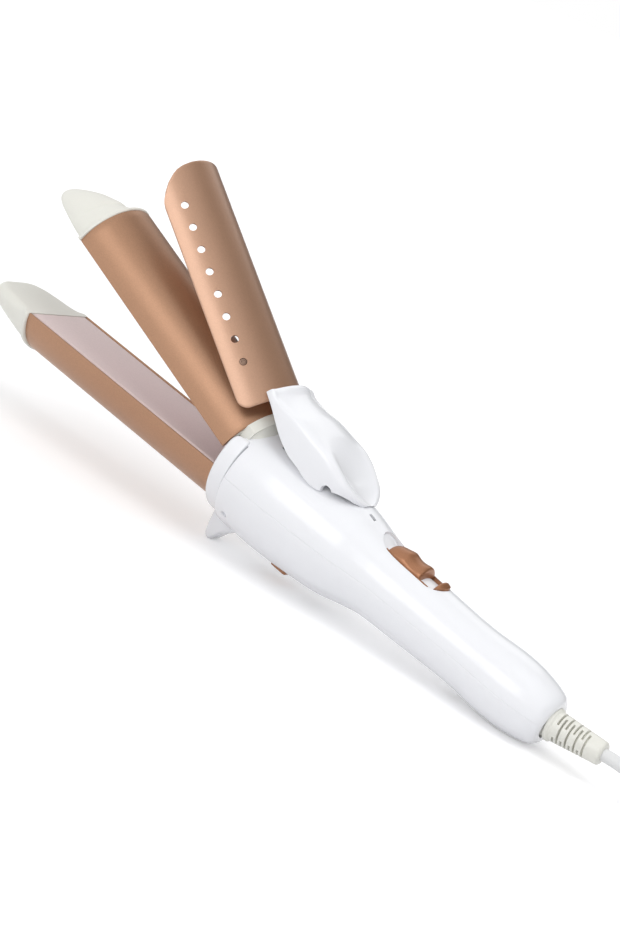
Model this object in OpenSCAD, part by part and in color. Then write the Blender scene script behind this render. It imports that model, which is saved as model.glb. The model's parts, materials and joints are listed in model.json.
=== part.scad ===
// Two-in-one hair tool: a fixed lower jaw, a hinged half-round upper barrel and a perforated
// clip on a thumb lever, on a round white handle with a mains cord.
// The pieces are drawn in the tool frame: x runs along the closed barrel's axis from the
// front of the collar towards the tips, y points to the left, z points up and the jaws are shut.
// on_table(), barrel_opened() and clip_opened() then carry them to where they rest.

/* [Arms] */
// Diameter of the barrel that the two jaws make when they are shut
barrel_d = 32; // [30:0.5:33]
// Length of the copper arms in front of the collar
arm_len = 93.3; // [80:0.1:110]
// Wall of the copper shells
shell_wall = 1; // [0.7:0.1:1.4]
// Thickness of the ironing plates
plate_t = 2.2; // [1.6:0.1:2.8]
// Gap between the plates when the jaws are shut
jaw_gap = 0.3; // [0.2:0.05:0.6]
// How far below the barrel's axis the plates meet
split_drop = 1.1; // [0.5:0.1:1.6]
// Length of the lower arm's bullet tip
lower_tip_len = 26.7; // [18:0.1:32]
// Length of the upper arm's flattened tip
upper_tip_len = 24.7; // [18:0.1:30]

/* [Opening] */
// Angle by which the upper barrel stands open, in degrees
barrel_open = 16.4; // [10:0.1:18]
// Angle by which the clip stands off the barrel, in degrees
clip_open = 16; // [8:0.1:17]
// Diameter of the two hinge pins
pin_d = 3; // [2.5:0.1:3.4]
// Height of the lever's pin above the barrel's axis
clip_pin_z = 19.2; // [18.6:0.1:20]

/* [Clip and lever] */
// Thickness of the clip's sheet
clip_t = 0.8; // [0.5:0.1:0.9]
// Length of the clip from its base edge to its rounded end
clip_len = 85.5; // [70:0.5:95]
// Half the angle that the clip wraps round the barrel, in degrees
clip_wrap = 71.8; // [60:0.1:76]
// Diameter of the clip's vent holes
vent_d = 2.6; // [1.8:0.1:3.4]
// Vent holes in each row, in front of the rivet
vent_count = 7; // [4:1:8]
// Distance between neighbouring vent holes
vent_pitch = 8.08; // [6:0.01:9]
// Angle of the hole rows from the top of the clip, in degrees
vent_angle = 50; // [35:1:58]
// Half the width of the thumb lever
lever_half_w = 13.4; // [12.8:0.1:14]
// Wall of the thumb lever
lever_wall = 1.6; // [1.2:0.1:2]

/* [Handle] */
// Distance from the front of the collar to the rear end of the handle
handle_len = 136; // [130:0.5:150]
// Diameter of the flared head
head_d = 37.4; // [37:0.1:39]
// Diameter of the grip at the switch
grip_d = 24; // [23.4:0.1:27]
// Diameter of the waist behind the switch
waist_d = 22.4; // [21.6:0.1:25]
// Diameter of the heel in front of the cord
heel_d = 23.7; // [22.8:0.1:26]
// Wall of the two handle shells
handle_wall = 2; // [1.6:0.1:2.2]
// How far the handle's axis lies below the barrel's axis at the collar
handle_drop = 1.5; // [1:0.1:2]
// Droop of the handle's axis towards the cord, in degrees
handle_droop = 0.8; // [0:0.1:1.5]
// Length of the collar ring along the handle
collar_len = 6; // [4:0.1:7]
// Depth of the foot lug's sole below the barrel's axis
lug_depth = 28.6; // [25:0.1:32]
// Width of the foot lug
lug_w = 8; // [5:0.5:12]

/* [Switch and lock] */
// Distance from the front of the collar to the front end of the switch recess
switch_x = 57; // [56:0.5:60]
// Length of the switch recess
switch_len = 28; // [26:0.5:32]
// Width of the switch recess
switch_w = 11.6; // [10:0.1:13]
// Travel of the power slider
switch_travel = 5; // [3:0.5:6]
// Travel of the lock slider
lock_travel = 4; // [2:0.5:4]

/* [Cord] */
// Diameter of the mains cord
cord_d = 4.2; // [3.8:0.1:4.6]
// Length of the strain relief behind the handle
relief_len = 17.5; // [15:0.5:40]
// Loops in each layer of the folded cord
hank_loops = 2; // [1:1:2]
// Layers of loops in the folded cord
hank_layers = 4; // [2:2:4]

/* [Hidden] */
$fn = 64;
eps = 0.01;
fit_gap = 0.1; // between pieces of one body that touch
run_gap = 0.3; // between pieces that pass each other
bore_gap = 0.05; // between a pin and the bore that turns on it
bore_fn = 40;

barrel_r = barrel_d / 2;
shell_r = barrel_r - shell_wall;
lower_face_z = -split_drop - jaw_gap / 2;
upper_face_z = -split_drop + jaw_gap / 2;
arm_root_x = -12;
pin_r = pin_d / 2;
barrel_pin_x = -19.6;
barrel_pin_z = -4.6;
clip_pin_x = -17.5;
head_r = head_d / 2;
collar_out_r = head_r - 0.2;
collar_in_r = barrel_r + 1.2;
ring_r = barrel_r + 0.2;
ring_front_x = 3.1;
ring_back_x = -0.6;
ring_in_r = ring_r - 2.2;
ring_half_w = 13; // the ring has flat sides where it swings between the collar's ends
collar_top_z = 12;
notch_half_w = 3.6;
lip_x = -3.4; // front of the head between the collar's ends

heater_len = 60;
heater_x = 20;
heater_w = 13;
heater_t = 3;
rail_t = 1.5;

clip_r = barrel_r + 0.4 + clip_t;
clip_base_x = 3.8;
clip_tongue_x = -2.9;
clip_tongue_half_w = 8;
clip_end_x = clip_base_x + clip_len;

cheek_in = 4.6;
cheek_out = 8.2;
boss_r = pin_r + 1.7;
knuckle_r = pin_r + 2.1;
frame_cheek_t = 2.4;
web_top_z = 6.6;

board_z = -3;
board_t = 1.6;
switch_h = 6;
stem_x = -switch_x - 9.2;
slot_inset = 2.5;
slot_half_w = 3.3;
lock_x = -33;
lock_w = 6;
lock_len = 6;
screw_x = [-47, -handle_len + 31.5];
screw_r = 1.3;
screw_head_r = 2.6;
clamp_x = -handle_len + 21.6;
board_front_x = -switch_x - 1;
board_back_x = screw_x[1] + 4.5;
clamp_pad_z = -5.95;
clamp_bar_z = -0.85;

coil_r = pin_r + 1.15;
wire_r = 0.4;
coil_turns = 5;
coil_w = 7.6;
coil_rings = 8;

plug_tail_len = 14;
plug_len = 34;
plug_w = 26;
plug_h = 13.7;
prong_len = 19;
prong_r = 2;
prong_gap = 18.6;

// Outline of the handle: distance along its axis and radius
shoulder_x = -43;
handle_knots = [
    [-collar_len - 0.4, head_r - 0.2], [-14, head_r - 0.05], [-21, head_r], [-31, head_r - 0.5],
    [shoulder_x, head_r - 1.55], [shoulder_x - 7, (2 * head_r + grip_d / 2) / 3 - 0.35],
    [shoulder_x - 12, (head_r + grip_d / 2) / 2 - 0.5],
    [shoulder_x - 17, (head_r + 3 * grip_d / 2) / 4 - 0.05],
    [shoulder_x - 23, grip_d / 2 + 0.55], [shoulder_x - 36, grip_d / 2],
    [-handle_len + 35, waist_d / 2], [-handle_len + 21, heel_d / 2],
    [-handle_len + 13, heel_d / 2 - 0.25], [-handle_len + 6, heel_d / 2 - 1.45],
    [-handle_len + 1.9, heel_d / 2 - 2.9], [-handle_len + 0.2, heel_d / 2 - 4.6]];
knot_steps = 3;

// The tool rests on the sole of its lug and on the heel of its handle.
lug_tip = [-3, -lug_depth];
rest_tilt = min([for (p = smooth(handle_knots, knot_steps))
    let (q = from_handle(p[0], -p[1])) if (q[0] < -60)
        atan2(q[1] - lug_tip[1], lug_tip[0] - q[0])]);
relief_rise = rest_tilt + 1.8;
relief_base = [-handle_len + 0.25, -3.3];
relief_end = relief_base + relief_len * [-cos(relief_rise), sin(relief_rise)];
relief_base_r = 5.15;
relief_end_r = 3.85;
relief_seat = 9;
tip_x = arm_len + lower_tip_len;
table_rise = -(lug_tip[0] * sin(rest_tilt) + lug_tip[1] * cos(rest_tilt));
front_reach = tip_x * cos(rest_tilt) + 4 * sin(rest_tilt);
rear_reach = relief_end[0] * cos(rest_tilt) - (relief_end[1] + relief_end_r) * sin(rest_tilt);
table_shift = -(front_reach + rear_reach) / 2;
cord_exit = tabled(relief_end[0], relief_end[1]);

// Folded cord: its runs lie along the tool, its loops in layers, and a tie draws them in
cord_r = cord_d / 2;
loop_pitch = cord_d + 0.9;
layer_pitch = cord_d + 0.5;
fold_r = 3 * cord_d + 0.2;
outer_fold_r = fold_r + hank_loops * loop_pitch;
run_len = 44;
waist_pull = 3;
tie_w = 5;
tie_t = 0.5;
hank_z = tie_t + 0.15 + cord_r;
run_rings = 5;
half_rings = 12;
hank_turns = hank_loops * hank_layers + run_rings / half_rings / 2;
hank_last = hank_turns * 2 * half_rings;

// Route of the free cord from its exit down to the folded length
cord_drop = hank_z - cord_exit[2];
cord_route = [for (p = [[0, 0, 0], [-5, 0, -0.0202], [-10, 0, 0.01], [-15, 0.034, 0.12],
    [-20, 0.1, 0.32], [-25, 0.21, 0.56], [-30, 0.366, 0.77], [-35, 0.548, 0.92],
    [-40, 0.722, 0.985], [-45, 0.861, 1], [-50, 0.958, 1], [-55, 1, 1], [-59.5, 1, 1]])
        [p[0], -p[1] * outer_fold_r, p[2] * cord_drop]];
// Route from the folded length up and over its end to the plug
end_route = [[0, 0, 0], [-4.5, 0, 0], [-9, 0.2, 0.4], [-15.4, 2.2, 1.3], [-20.2, 7.1, 2.6],
    [-22, 13.6, 4.1], [-20.2, 20.1, 5.7], [-15.4, 24.9, 7.2], [-9, 26.8, 8.5], [-4, 27, 9.3],
    [0, 27, 9.65], [4.5, 27, 9.65]];
route_end = cord_exit + cord_route[len(cord_route) - 1];
hank_x = route_end[0] - cord_d - run_len / 2;

// Fold radius and layer after a number of turns: in, out, in and out again
function fold_at(u) = let (n = hank_loops, phase = u % (2 * n))
    outer_fold_r - loop_pitch * (phase < n ? phase : 2 * n - phase);
function layer_at(u) = let (n = hank_loops, k = floor(u / n), run = run_rings / half_rings / 2)
    k < 1 ? 0 : k >= hank_layers ? hank_layers - 1 : k - 1 + min(1, (u - k * n) / run);
function spread_at(u) = u > hank_loops * hank_layers
    ? outer_fold_r + loop_pitch * (u - hank_loops * hank_layers) : fold_at(u);

// Point of the folded cord at ring i
function hank_point(i) = let (u = i / half_rings / 2, r = spread_at(u), j = i % half_rings,
    side = i % (2 * half_rings) < half_rings ? -1 : 1, q = min(1, j / run_rings),
    a = 180 * max(0, (j - run_rings) / (half_rings - run_rings)),
    pull = j > run_rings ? 0 : waist_pull * (1 - cos(360 * q)) / 2)
    [hank_x + side * run_len * (q - 0.5) + side * r * sin(a), side * (r * cos(a) - pull),
        hank_z + layer_pitch * layer_at(u)];
hank_path = concat([hank_point(0) + [cord_d, 0, 0]], [for (i = [0:hank_last]) hank_point(i)],
    [hank_point(hank_last) - [cord_d, 0, 0]]);
hank_end = hank_path[len(hank_path) - 1];
plug_start = hank_end + end_route[len(end_route) - 1];
echo(cord_gap = least_gap(hank_path, 4, cord_d));
echo(cord_length = path_length(cord_route) + path_length(hank_path) + path_length(end_route));
echo(cord_exit = cord_exit, route_end = route_end, hank_start = hank_path[0], plug = plug_start);

// Smooth curve through the knots, with the given number of steps between them
function knot(k, i) = k[max(0, min(len(k) - 1, i))];
function smooth(k, steps) = concat([for (i = [0:len(k) - 2], s = [0:steps - 1])
    let (t = s / steps, a = knot(k, i - 1), b = knot(k, i), c = knot(k, i + 1), d = knot(k, i + 2))
        (2 * b + (c - a) * t + (2 * a - 5 * b + 4 * c - d) * t * t
            + (3 * b - a - 3 * c + d) * t * t * t) / 2], [k[len(k) - 1]]);

// Radius of the handle at a distance along its axis
function handle_r(x) = lookup(-x, [for (p = smooth(handle_knots, knot_steps)) [-p[0], p[1]]]);

// A point of the handle's own frame, as x and z of the tool frame
function from_handle(x, z) = [x * cos(handle_droop) - z * sin(handle_droop),
    x * sin(handle_droop) + z * cos(handle_droop) - handle_drop];

// A point of the tool frame where it rests on the table, and the place of the lever's pin
function tabled(x, z) = [x * cos(rest_tilt) - z * sin(rest_tilt) + table_shift, 0,
    x * sin(rest_tilt) + z * cos(rest_tilt) + table_rise];
function opened(x, z) = let (dx = x - barrel_pin_x, dz = z - barrel_pin_z)
    tabled(barrel_pin_x + dx * cos(barrel_open) - dz * sin(barrel_open),
        barrel_pin_z + dx * sin(barrel_open) + dz * cos(barrel_open));
slide_angle = rest_tilt + handle_droop;
echo(barrel_hinge = tabled(barrel_pin_x, barrel_pin_z), clip_hinge = opened(clip_pin_x, clip_pin_z));
echo(slide_axis = [cos(slide_angle), 0, sin(slide_angle)], tilt = rest_tilt);

function unit(v) = v / norm(v);
function direction(p, i) = unit(p[min(len(p) - 1, i + 1)] - p[max(0, i - 1)]);

// Least distance between points of a path that lie more than skip steps apart
function least_gap(p, skip, d) = min([for (i = [0:len(p) - 1])
    for (j = [i + skip:1:len(p) - 1]) norm(p[i] - p[j])]) - d;

function path_length(p) = len(p) < 2 ? 0 : [for (i = 1, t = norm(p[1] - p[0]); i < len(p);
    i = i + 1, t = t + (i < len(p) ? norm(p[i] - p[i - 1]) : 0)) t][len(p) - 2];

// Solid tube along the points of a path that never runs along up
module tube(path, r, sides, up = [0, 0, 1]) {
    rings = [for (i = [0:len(path) - 1])
        let (t = direction(path, i), s = unit(cross(t, up)), u = cross(s, t))
            for (k = [0:sides - 1]) let (a = 360 * (k + 0.5) / sides)
                path[i] + r * (cos(a) * s + sin(a) * u)];
    last = len(path) - 1;
    sleeve = [for (i = [0:last - 1], k = [0:sides - 1], half = [0, 1])
        let (a = i * sides + k, b = i * sides + (k + 1) % sides)
            half == 0 ? [a, b, b + sides] : [a, b + sides, a + sides]];
    ends = concat([for (k = [1:sides - 2]) [0, k + 1, k]],
        [for (k = [1:sides - 2]) [last * sides, last * sides + k, last * sides + k + 1]]);
    polyhedron(points = rings, faces = concat(sleeve, ends), convexity = 6);
}

// Solid through rings of equally many points, each in a plane across x. An arch has its outer
// points first and its inner points back, so its ends are strips between the two.
module loft(rings, arch = false) {
    n = len(rings[0]);
    m = len(rings) - 1;
    sleeve = [for (i = [0:m - 1], k = [0:n - 1], half = [0, 1])
        let (a = i * n + k, b = i * n + (k + 1) % n)
            half == 0 ? [a, b + n, b] : [a, a + n, b + n]];
    plain = [[for (k = [0:n - 1]) k], [for (k = [n - 1:-1:0]) m * n + k]];
    strip = [for (k = [0:n / 2 - 2], f = [[k, k + 1, n - 2 - k], [k, n - 2 - k, n - 1 - k]]) each
        [f, [m * n + f[0], m * n + f[2], m * n + f[1]]]];
    polyhedron(points = [for (r = rings) each r], faces = concat(sleeve, arch ? strip : plain),
        convexity = 8);
}

// Turns a solid that stands along z so that it lies along x
module along_x() { rotate([0, 90, 0]) children(); }

// Turns the outline drawn in x and z into a plate of the given width across y
module across_y(width) { rotate([90, 0, 0]) linear_extrude(width, center = true) children(); }

// Solid of revolution about x through points of x and radius
module turned(points) {
    along_x() rotate_extrude() polygon([for (p = points) [p[1], p[0]]]);
}

// Cylinder along x between two places
module rod_x(x0, x1, r) { translate([x0, 0, 0]) along_x() cylinder(x1 - x0, r = r); }

// Cylinder across y between two places
module rod_y(x, z, y0, y1, r) {
    translate([x, y0, z]) rotate([-90, 0, 0]) cylinder(y1 - y0, r = r, $fn = bore_fn);
}

// Block between two corners
module block(a, b) { translate(a) cube(b - a); }

module on_table() {
    translate([table_shift, 0, table_rise]) rotate([0, -rest_tilt, 0]) children();
}

module turned_up(x, z, angle) {
    translate([x, 0, z]) rotate([0, -angle, 0]) translate([-x, 0, -z]) children();
}

module barrel_opened() {
    on_table() turned_up(barrel_pin_x, barrel_pin_z, barrel_open) children();
}

module clip_opened() {
    barrel_opened() turned_up(clip_pin_x, clip_pin_z, clip_open) children();
}

// Frame of the handle: its x runs along the handle's own axis
module in_droop() {
    translate([0, 0, -handle_drop]) rotate([0, -handle_droop, 0]) children();
}

module in_handle() { on_table() in_droop() children(); }

// Frame of the strain relief: x runs back along the cord from the end of the handle
module in_relief() {
    on_table() translate([relief_base[0], 0, relief_base[1]])
        rotate([0, 180 + relief_rise, 0]) children();
}

// Solid outline of the handle, grown by the given amount
module handle_body(grow = 0) {
    profile = [for (p = smooth(handle_knots, knot_steps)) [p[0], p[1] + grow]];
    last = profile[len(profile) - 1];
    turned(concat([[profile[0][0], 0]], profile, [[last[0] - grow, 0]]));
}

// The hollow inside the handle
module handle_hollow() {
    inner = [for (p = smooth(handle_knots, knot_steps)) if (p[0] > -handle_len + handle_wall)
        [p[0], p[1] - handle_wall - (p[0] < -handle_len + 8 ? 0.6 : 0)]];
    last = inner[len(inner) - 1];
    turned(concat([[inner[0][0] + 1, 0], [inner[0][0] + 1, inner[0][1]]], inner, [[last[0], 0]]));
}

// Rounded outline of the switch recess, seen from above
module recess_outline(inset = 0) {
    r = switch_w / 2 - inset;
    for (x = [-switch_x - switch_w / 2, -switch_x - switch_len + switch_w / 2])
        translate([x, 0]) circle(r, $fn = bore_fn);
    translate([-switch_x - switch_len + switch_w / 2, -r]) square([switch_len - switch_w, 2 * r]);
}

// Room for the seat of the strain relief, in the frame of the tool
module relief_passage() {
    translate([relief_base[0], 0, relief_base[1]]) rotate([0, 180 + relief_rise, 0])
        rod_x(-14, 8, relief_base_r + run_gap);
}

module handle_upper_shell() {
    color([0.96, 0.96, 0.97]) on_table() difference() {
        in_droop() difference() {
            intersection() {
                union() {
                    handle_body();
                    rod_x(-collar_len - 1, lip_x, head_r - 0.5);
                }
                block([-handle_len - 1, -30, 0], [0, 30, 30]);
            }
            handle_hollow();
            rod_x(-collar_len - 2, 0, head_r - handle_wall);
            block([-collar_len - 0.5, -30, -1], [0, 30, collar_top_z + handle_drop + run_gap]);
            translate([0, 0, -1]) linear_extrude(40) recess_outline(-run_gap / 2);
            block([clip_pin_x - 12, -cheek_out - 1, 6], [clip_pin_x + 4.5, cheek_out + 1, 30]);
            block([clip_pin_x + 4, -notch_half_w, 6], [0, notch_half_w, 30]);
            block([-51.6, -2.2, 5], [-50, 2.2, 30]);
        }
        relief_passage();
        for (angle = [barrel_open:-3:barrel_open - 9]) // room for the ring as it swings
            turned_up(barrel_pin_x, barrel_pin_z, angle) difference() {
                rod_x(ring_back_x - 2 * run_gap, 9, ring_r + 2 * run_gap);
                rod_x(ring_back_x - 2, 10, ring_in_r - run_gap);
            }
    }
    color([0.96, 0.96, 0.97]) in_handle() for (x = screw_x) {
        top = handle_r(x) - handle_wall + 0.5;
        difference() {
            translate([x, 0, 0.2]) cylinder(top - 0.2, r = screw_r + 1.6);
            translate([x, 0, -1]) cylinder(8, r = screw_r + bore_gap, $fn = bore_fn);
        }
    }
}

// Cradle of the arm, bosses and hinge cheeks that stand in the lower shell
module lower_shell_insides() {
    seat_x = barrel_pin_x - 9.2;
    seat_z = barrel_pin_z + handle_drop - seat_x * sin(handle_droop) - coil_r - wire_r - fit_gap;
    intersection() {
        handle_body(-handle_wall / 2);
        union() {
            for (x = screw_x)
                translate([x, 0, -20]) cylinder(20, r = screw_head_r + 1.2);
            for (x = [board_front_x - 6, board_back_x + 6], side = [-1, 1])
                block([x - 1, side * 5 - 1, -20], [x + 1, side * 5 + 1, board_z]);
            block([seat_x, -coil_w / 2 - 1.4, -20], [seat_x + 1.6, -coil_w / 2 - 0.3, seat_z]);
            block([seat_x, -coil_w / 2 - 1.4, seat_z - 1.2], [seat_x + 1.6, -coil_w / 2 + 0.8, seat_z]);
            block([clamp_x - 3, -6, -20], [clamp_x + 3, 6, clamp_pad_z]);
        }
    }
}

// Cheek that carries the barrel's pin, in the tool frame
module frame_cheek(y0) {
    translate([0, y0 + frame_cheek_t / 2, 0]) across_y(frame_cheek_t) {
        translate([barrel_pin_x, barrel_pin_z]) circle(knuckle_r, $fn = bore_fn);
        polygon([[barrel_pin_x - knuckle_r, barrel_pin_z], [barrel_pin_x + knuckle_r, barrel_pin_z],
            [barrel_pin_x + knuckle_r + 1.5, -20], [barrel_pin_x - knuckle_r - 1.5, -20]]);
    }
}

module handle_lower_shell() {
    color([0.96, 0.96, 0.97]) on_table() difference() {
        union() {
            in_droop() {
                difference() {
                    intersection() {
                        handle_body();
                        block([-handle_len - 1, -30, -30], [0, 30, 0]);
                    }
                    handle_hollow();
                }
                lower_shell_insides();
            }
            intersection() {
                in_droop() handle_body(-handle_wall / 2);
                for (y0 = [cheek_out + run_gap, -cheek_out - run_gap - frame_cheek_t])
                    frame_cheek(y0);
            }
        }
        rod_y(barrel_pin_x, barrel_pin_z, -13, 13, pin_r + 0.02);
        in_droop() {
            for (x = screw_x) {
                translate([x, 0, -24]) cylinder(30, r = screw_r + 0.3, $fn = bore_fn);
                translate([x, 0, -24]) cylinder(24 - 6, r = screw_head_r + 0.2, $fn = bore_fn);
            }
            block([lock_x - lock_len / 2 - 1, -lock_w / 2 - run_gap, -24],
                [lock_x + lock_len / 2 + lock_travel + 1, lock_w / 2 + run_gap, -10]);
        }
        relief_passage();
        translate([-10.8, 14.4, -11.4]) rotate([-52, 0, 0]) rotate([-90, 0, 0])
            cylinder(8, r = 1.1, center = true, $fn = 24);
    }
}

module front_collar() {
    color([0.96, 0.96, 0.97]) on_table() {
        difference() {
            turned([[-collar_len, barrel_r + fit_gap], [-1, barrel_r + fit_gap],
                [-0.4, barrel_r + 0.6], [0, barrel_r + 1.4], [0, collar_out_r - 1],
                [-0.3, collar_out_r - 0.3], [-1, collar_out_r], [-collar_len, collar_out_r]]);
            block([-20, -30, collar_top_z], [5, 30, 30]);
            block([-20, -ring_half_w - run_gap, 3], [5, ring_half_w + run_gap, 30]);
            intersection() {
                rod_x(-20, 5, collar_in_r);
                block([-20, -30, upper_face_z - 1.4], [5, 30, 30]);
            }
            turned_up(barrel_pin_x, barrel_pin_z, barrel_open)
                rod_x(ring_front_x - run_gap, 9, barrel_r + run_gap);
        }
        difference() {
            across_y(lug_w) polygon([[-0.3, -barrel_r - 0.8], [-0.5, -lug_depth + 5],
                [-1.2, -lug_depth + 1.5], [-2, -lug_depth + 0.3], lug_tip,
                [-4.2, -lug_depth + 0.5], [-6.5, -lug_depth + 3.8], [-11.5, -20.4],
                [-11.5, -19], [-5, -barrel_r - 0.8]]);
            in_droop() handle_body(fit_gap);
        }
    }
}

// Half tube of an arm, cut off flat at the given height
module arm_tube(x0, x1, cut_z, above) {
    difference() {
        rod_x(x0, x1, barrel_r);
        rod_x(x0 - 1, x1 + 1, shell_r);
        if (above) block([x0 - 1, -30, -30], [x1 + 1, 30, cut_z]);
        if (!above) block([x0 - 1, -30, cut_z], [x1 + 1, 30, 30]);
    }
}

// Ironing plate with its two heater rails; side is 1 for the upper arm and -1 for the lower
module arm_plate(x0, x1, face_z, side) {
    intersection() {
        rod_x(x0, x1, shell_r - 0.25);
        union() {
            low = min(face_z, face_z + side * plate_t);
            block([x0, -30, low], [x1, 30, low + plate_t]);
            for (y = [-heater_w / 2 - rail_t - fit_gap, heater_w / 2 + fit_gap]) {
                z0 = face_z + side * (plate_t - eps);
                z1 = face_z + side * (plate_t + heater_t);
                block([heater_x, y, min(z0, z1)], [heater_x + heater_len, y + rail_t, max(z0, z1)]);
            }
        }
    }
}

module arm_heater(face_z, side) {
    z0 = face_z + side * plate_t;
    z1 = z0 + side * heater_t;
    block([heater_x + 1, -heater_w / 2, min(z0, z1)],
        [heater_x + heater_len - 1, heater_w / 2, max(z0, z1)]);
}

// Saddle that stands on the shell and presses the heater against its plate
module arm_clamp(face_z, side) {
    z0 = face_z + side * (plate_t + heater_t);
    intersection() {
        rod_x(heater_x + 8, heater_x + heater_len - 8, shell_r - fit_gap);
        difference() {
            block([heater_x + 8, -6, min(z0, side * 20)], [heater_x + heater_len - 8, 6,
                max(z0, side * 20)]);
            block([heater_x, -4.4, min(z0 + side * 1.6, side * 21)],
                [heater_x + heater_len, 4.4, max(z0 + side * 1.6, side * 21)]);
        }
    }
}

module lower_arm_shell() {
    color([0.74, 0.53, 0.41]) on_table() arm_tube(arm_root_x, arm_len, lower_face_z, false);
}

module lower_plate() {
    color([0.85, 0.79, 0.78]) on_table() arm_plate(-1, arm_len - 0.3, lower_face_z, -1);
}

// Bullet outline: distance in front of the copper and radius
function bullet(len, r) = [for (p = [[0, 0], [0.5, 0.5], [1.8, 0.5], [2.8, -0.6], [6, -1.1],
    [len - 18, -1.8], [len - 14, -2.8], [len - 10, -4.3], [len - 6.4, -6.3], [len - 3.4, -8.7],
    [len - 1.3, -11.3], [len - 0.3, -13.4], [len, -r]]) [p[0], r + p[1]]];

module lower_tip_cap() {
    outline = bullet(lower_tip_len, barrel_r);
    color([0.88, 0.88, 0.83]) on_table() difference() {
        union() {
            translate([arm_len, 0, 0]) turned(concat([[0, 0]], outline));
            rod_x(arm_len - 7, arm_len + 1, shell_r - fit_gap);
        }
        translate([arm_len, 0, 0]) turned([[-8, 0], [-8, shell_r - 1.5], [2, shell_r - 1.5],
            [lower_tip_len - 16, barrel_r - 5], [lower_tip_len - 9, barrel_r - 8],
            [lower_tip_len - 4, 2], [lower_tip_len - 4, 0]]);
        block([0, -30, lower_face_z], [tip_x + 5, 30, 30]);
        block([0, -30, lower_face_z - plate_t - fit_gap], [arm_len, 30, 30]);
    }
    color([0.88, 0.88, 0.83]) on_table() intersection() {
        translate([arm_len, 0, 0]) turned(concat([[0, 0]], outline));
        block([arm_len, -30, lower_face_z - 1.6], [tip_x + 5, 30, lower_face_z]);
    }
}

// Heat-proof block that joins the lower arm to the head
module lower_arm_block() {
    color([0.80, 0.79, 0.74]) on_table() difference() {
        intersection() {
            rod_x(arm_root_x, 8, shell_r - fit_gap);
            block([arm_root_x, -30, -30], [8, 30, lower_face_z - plate_t]);
        }
        for (y = [-3, 3]) translate([0, y, -9]) rod_x(arm_root_x - 1, 9, 1.3);
    }
}

module lower_heater() {
    color([0.35, 0.33, 0.32]) on_table() arm_heater(lower_face_z, -1);
}

module lower_heater_clamp() {
    color([0.75, 0.76, 0.78]) on_table() arm_clamp(lower_face_z, -1);
}

module upper_barrel_shell() {
    color([0.74, 0.53, 0.41]) barrel_opened()
        arm_tube(ring_front_x, arm_len, upper_face_z, true);
}

module upper_plate() {
    color([0.85, 0.79, 0.78]) barrel_opened()
        arm_plate(ring_front_x + 0.2, arm_len - 0.3, upper_face_z, 1);
}

module upper_heater() {
    color([0.35, 0.33, 0.32]) barrel_opened() arm_heater(upper_face_z, 1);
}

module upper_heater_clamp() {
    color([0.75, 0.76, 0.78]) barrel_opened() arm_clamp(upper_face_z, 1);
}

// Ring of the flattened tip: half width and height above the jaw's face
function blade_ring(x, w, h, base) = [for (a = [0:15:180])
    [x, w * cos(a) * (1 - 0.06 * sin(2 * a) * sin(2 * a)), base + h * sin(a)]];

module upper_tip_cap() {
    r = barrel_r;
    l = upper_tip_len;
    stations = [[0, r + 0.4, r + 0.5], [1.3, r + 0.4, r + 0.3], [1.5, r - 0.5, r - 0.9],
        [4, r - 0.9, r - 2.4], [7.8, r - 1.5, r - 4.7], [9.9, r - 2, r - 5.2],
        [13, r - 2.5, r - 6.7], [16, r - 3.4, r - 8.1], [l - 6.2, r - 4.6, r - 9.7],
        [l - 3.7, r - 6.8, r - 11.2], [l - 1.5, r - 9.8, r - 13], [l, r - 13.5, r - 14.9]];
    color([0.88, 0.88, 0.83]) barrel_opened() {
        difference() {
            loft([for (s = stations) blade_ring(arm_len + s[0], s[1], s[2], upper_face_z)]);
            loft([for (s = stations) if (s[0] < l - 8)
                blade_ring(arm_len + s[0] - 1, s[1] - 2.2, s[2] - 3.6, upper_face_z + 1.5)]);
        }
        difference() {
            rod_x(arm_len - 7, arm_len, shell_r - fit_gap);
            rod_x(arm_len - 8, arm_len + 1, shell_r - 1.5);
            block([0, -30, -30], [tip_x, 30, upper_face_z + plate_t + fit_gap]);
        }
    }
}

// Side view of a carrier cheek: knuckle, web and the pedestal of the lever's pin
module carrier_cheek_outline() {
    translate([barrel_pin_x, barrel_pin_z]) circle(knuckle_r, $fn = bore_fn);
    translate([clip_pin_x, clip_pin_z]) circle(boss_r, $fn = bore_fn);
    polygon([[barrel_pin_x - knuckle_r, barrel_pin_z], [clip_pin_x - boss_r, clip_pin_z],
        [clip_pin_x + boss_r, clip_pin_z], [clip_pin_x + boss_r + 1, 8], [-7, web_top_z],
        [ring_front_x, web_top_z], [ring_front_x, upper_face_z], [-14, upper_face_z],
        [barrel_pin_x + knuckle_r, barrel_pin_z]]);
    polygon([[barrel_pin_x - knuckle_r, barrel_pin_z], [barrel_pin_x, barrel_pin_z - knuckle_r],
        [-22.6, -11], [-24.6, -10.6]]);
}

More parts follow.
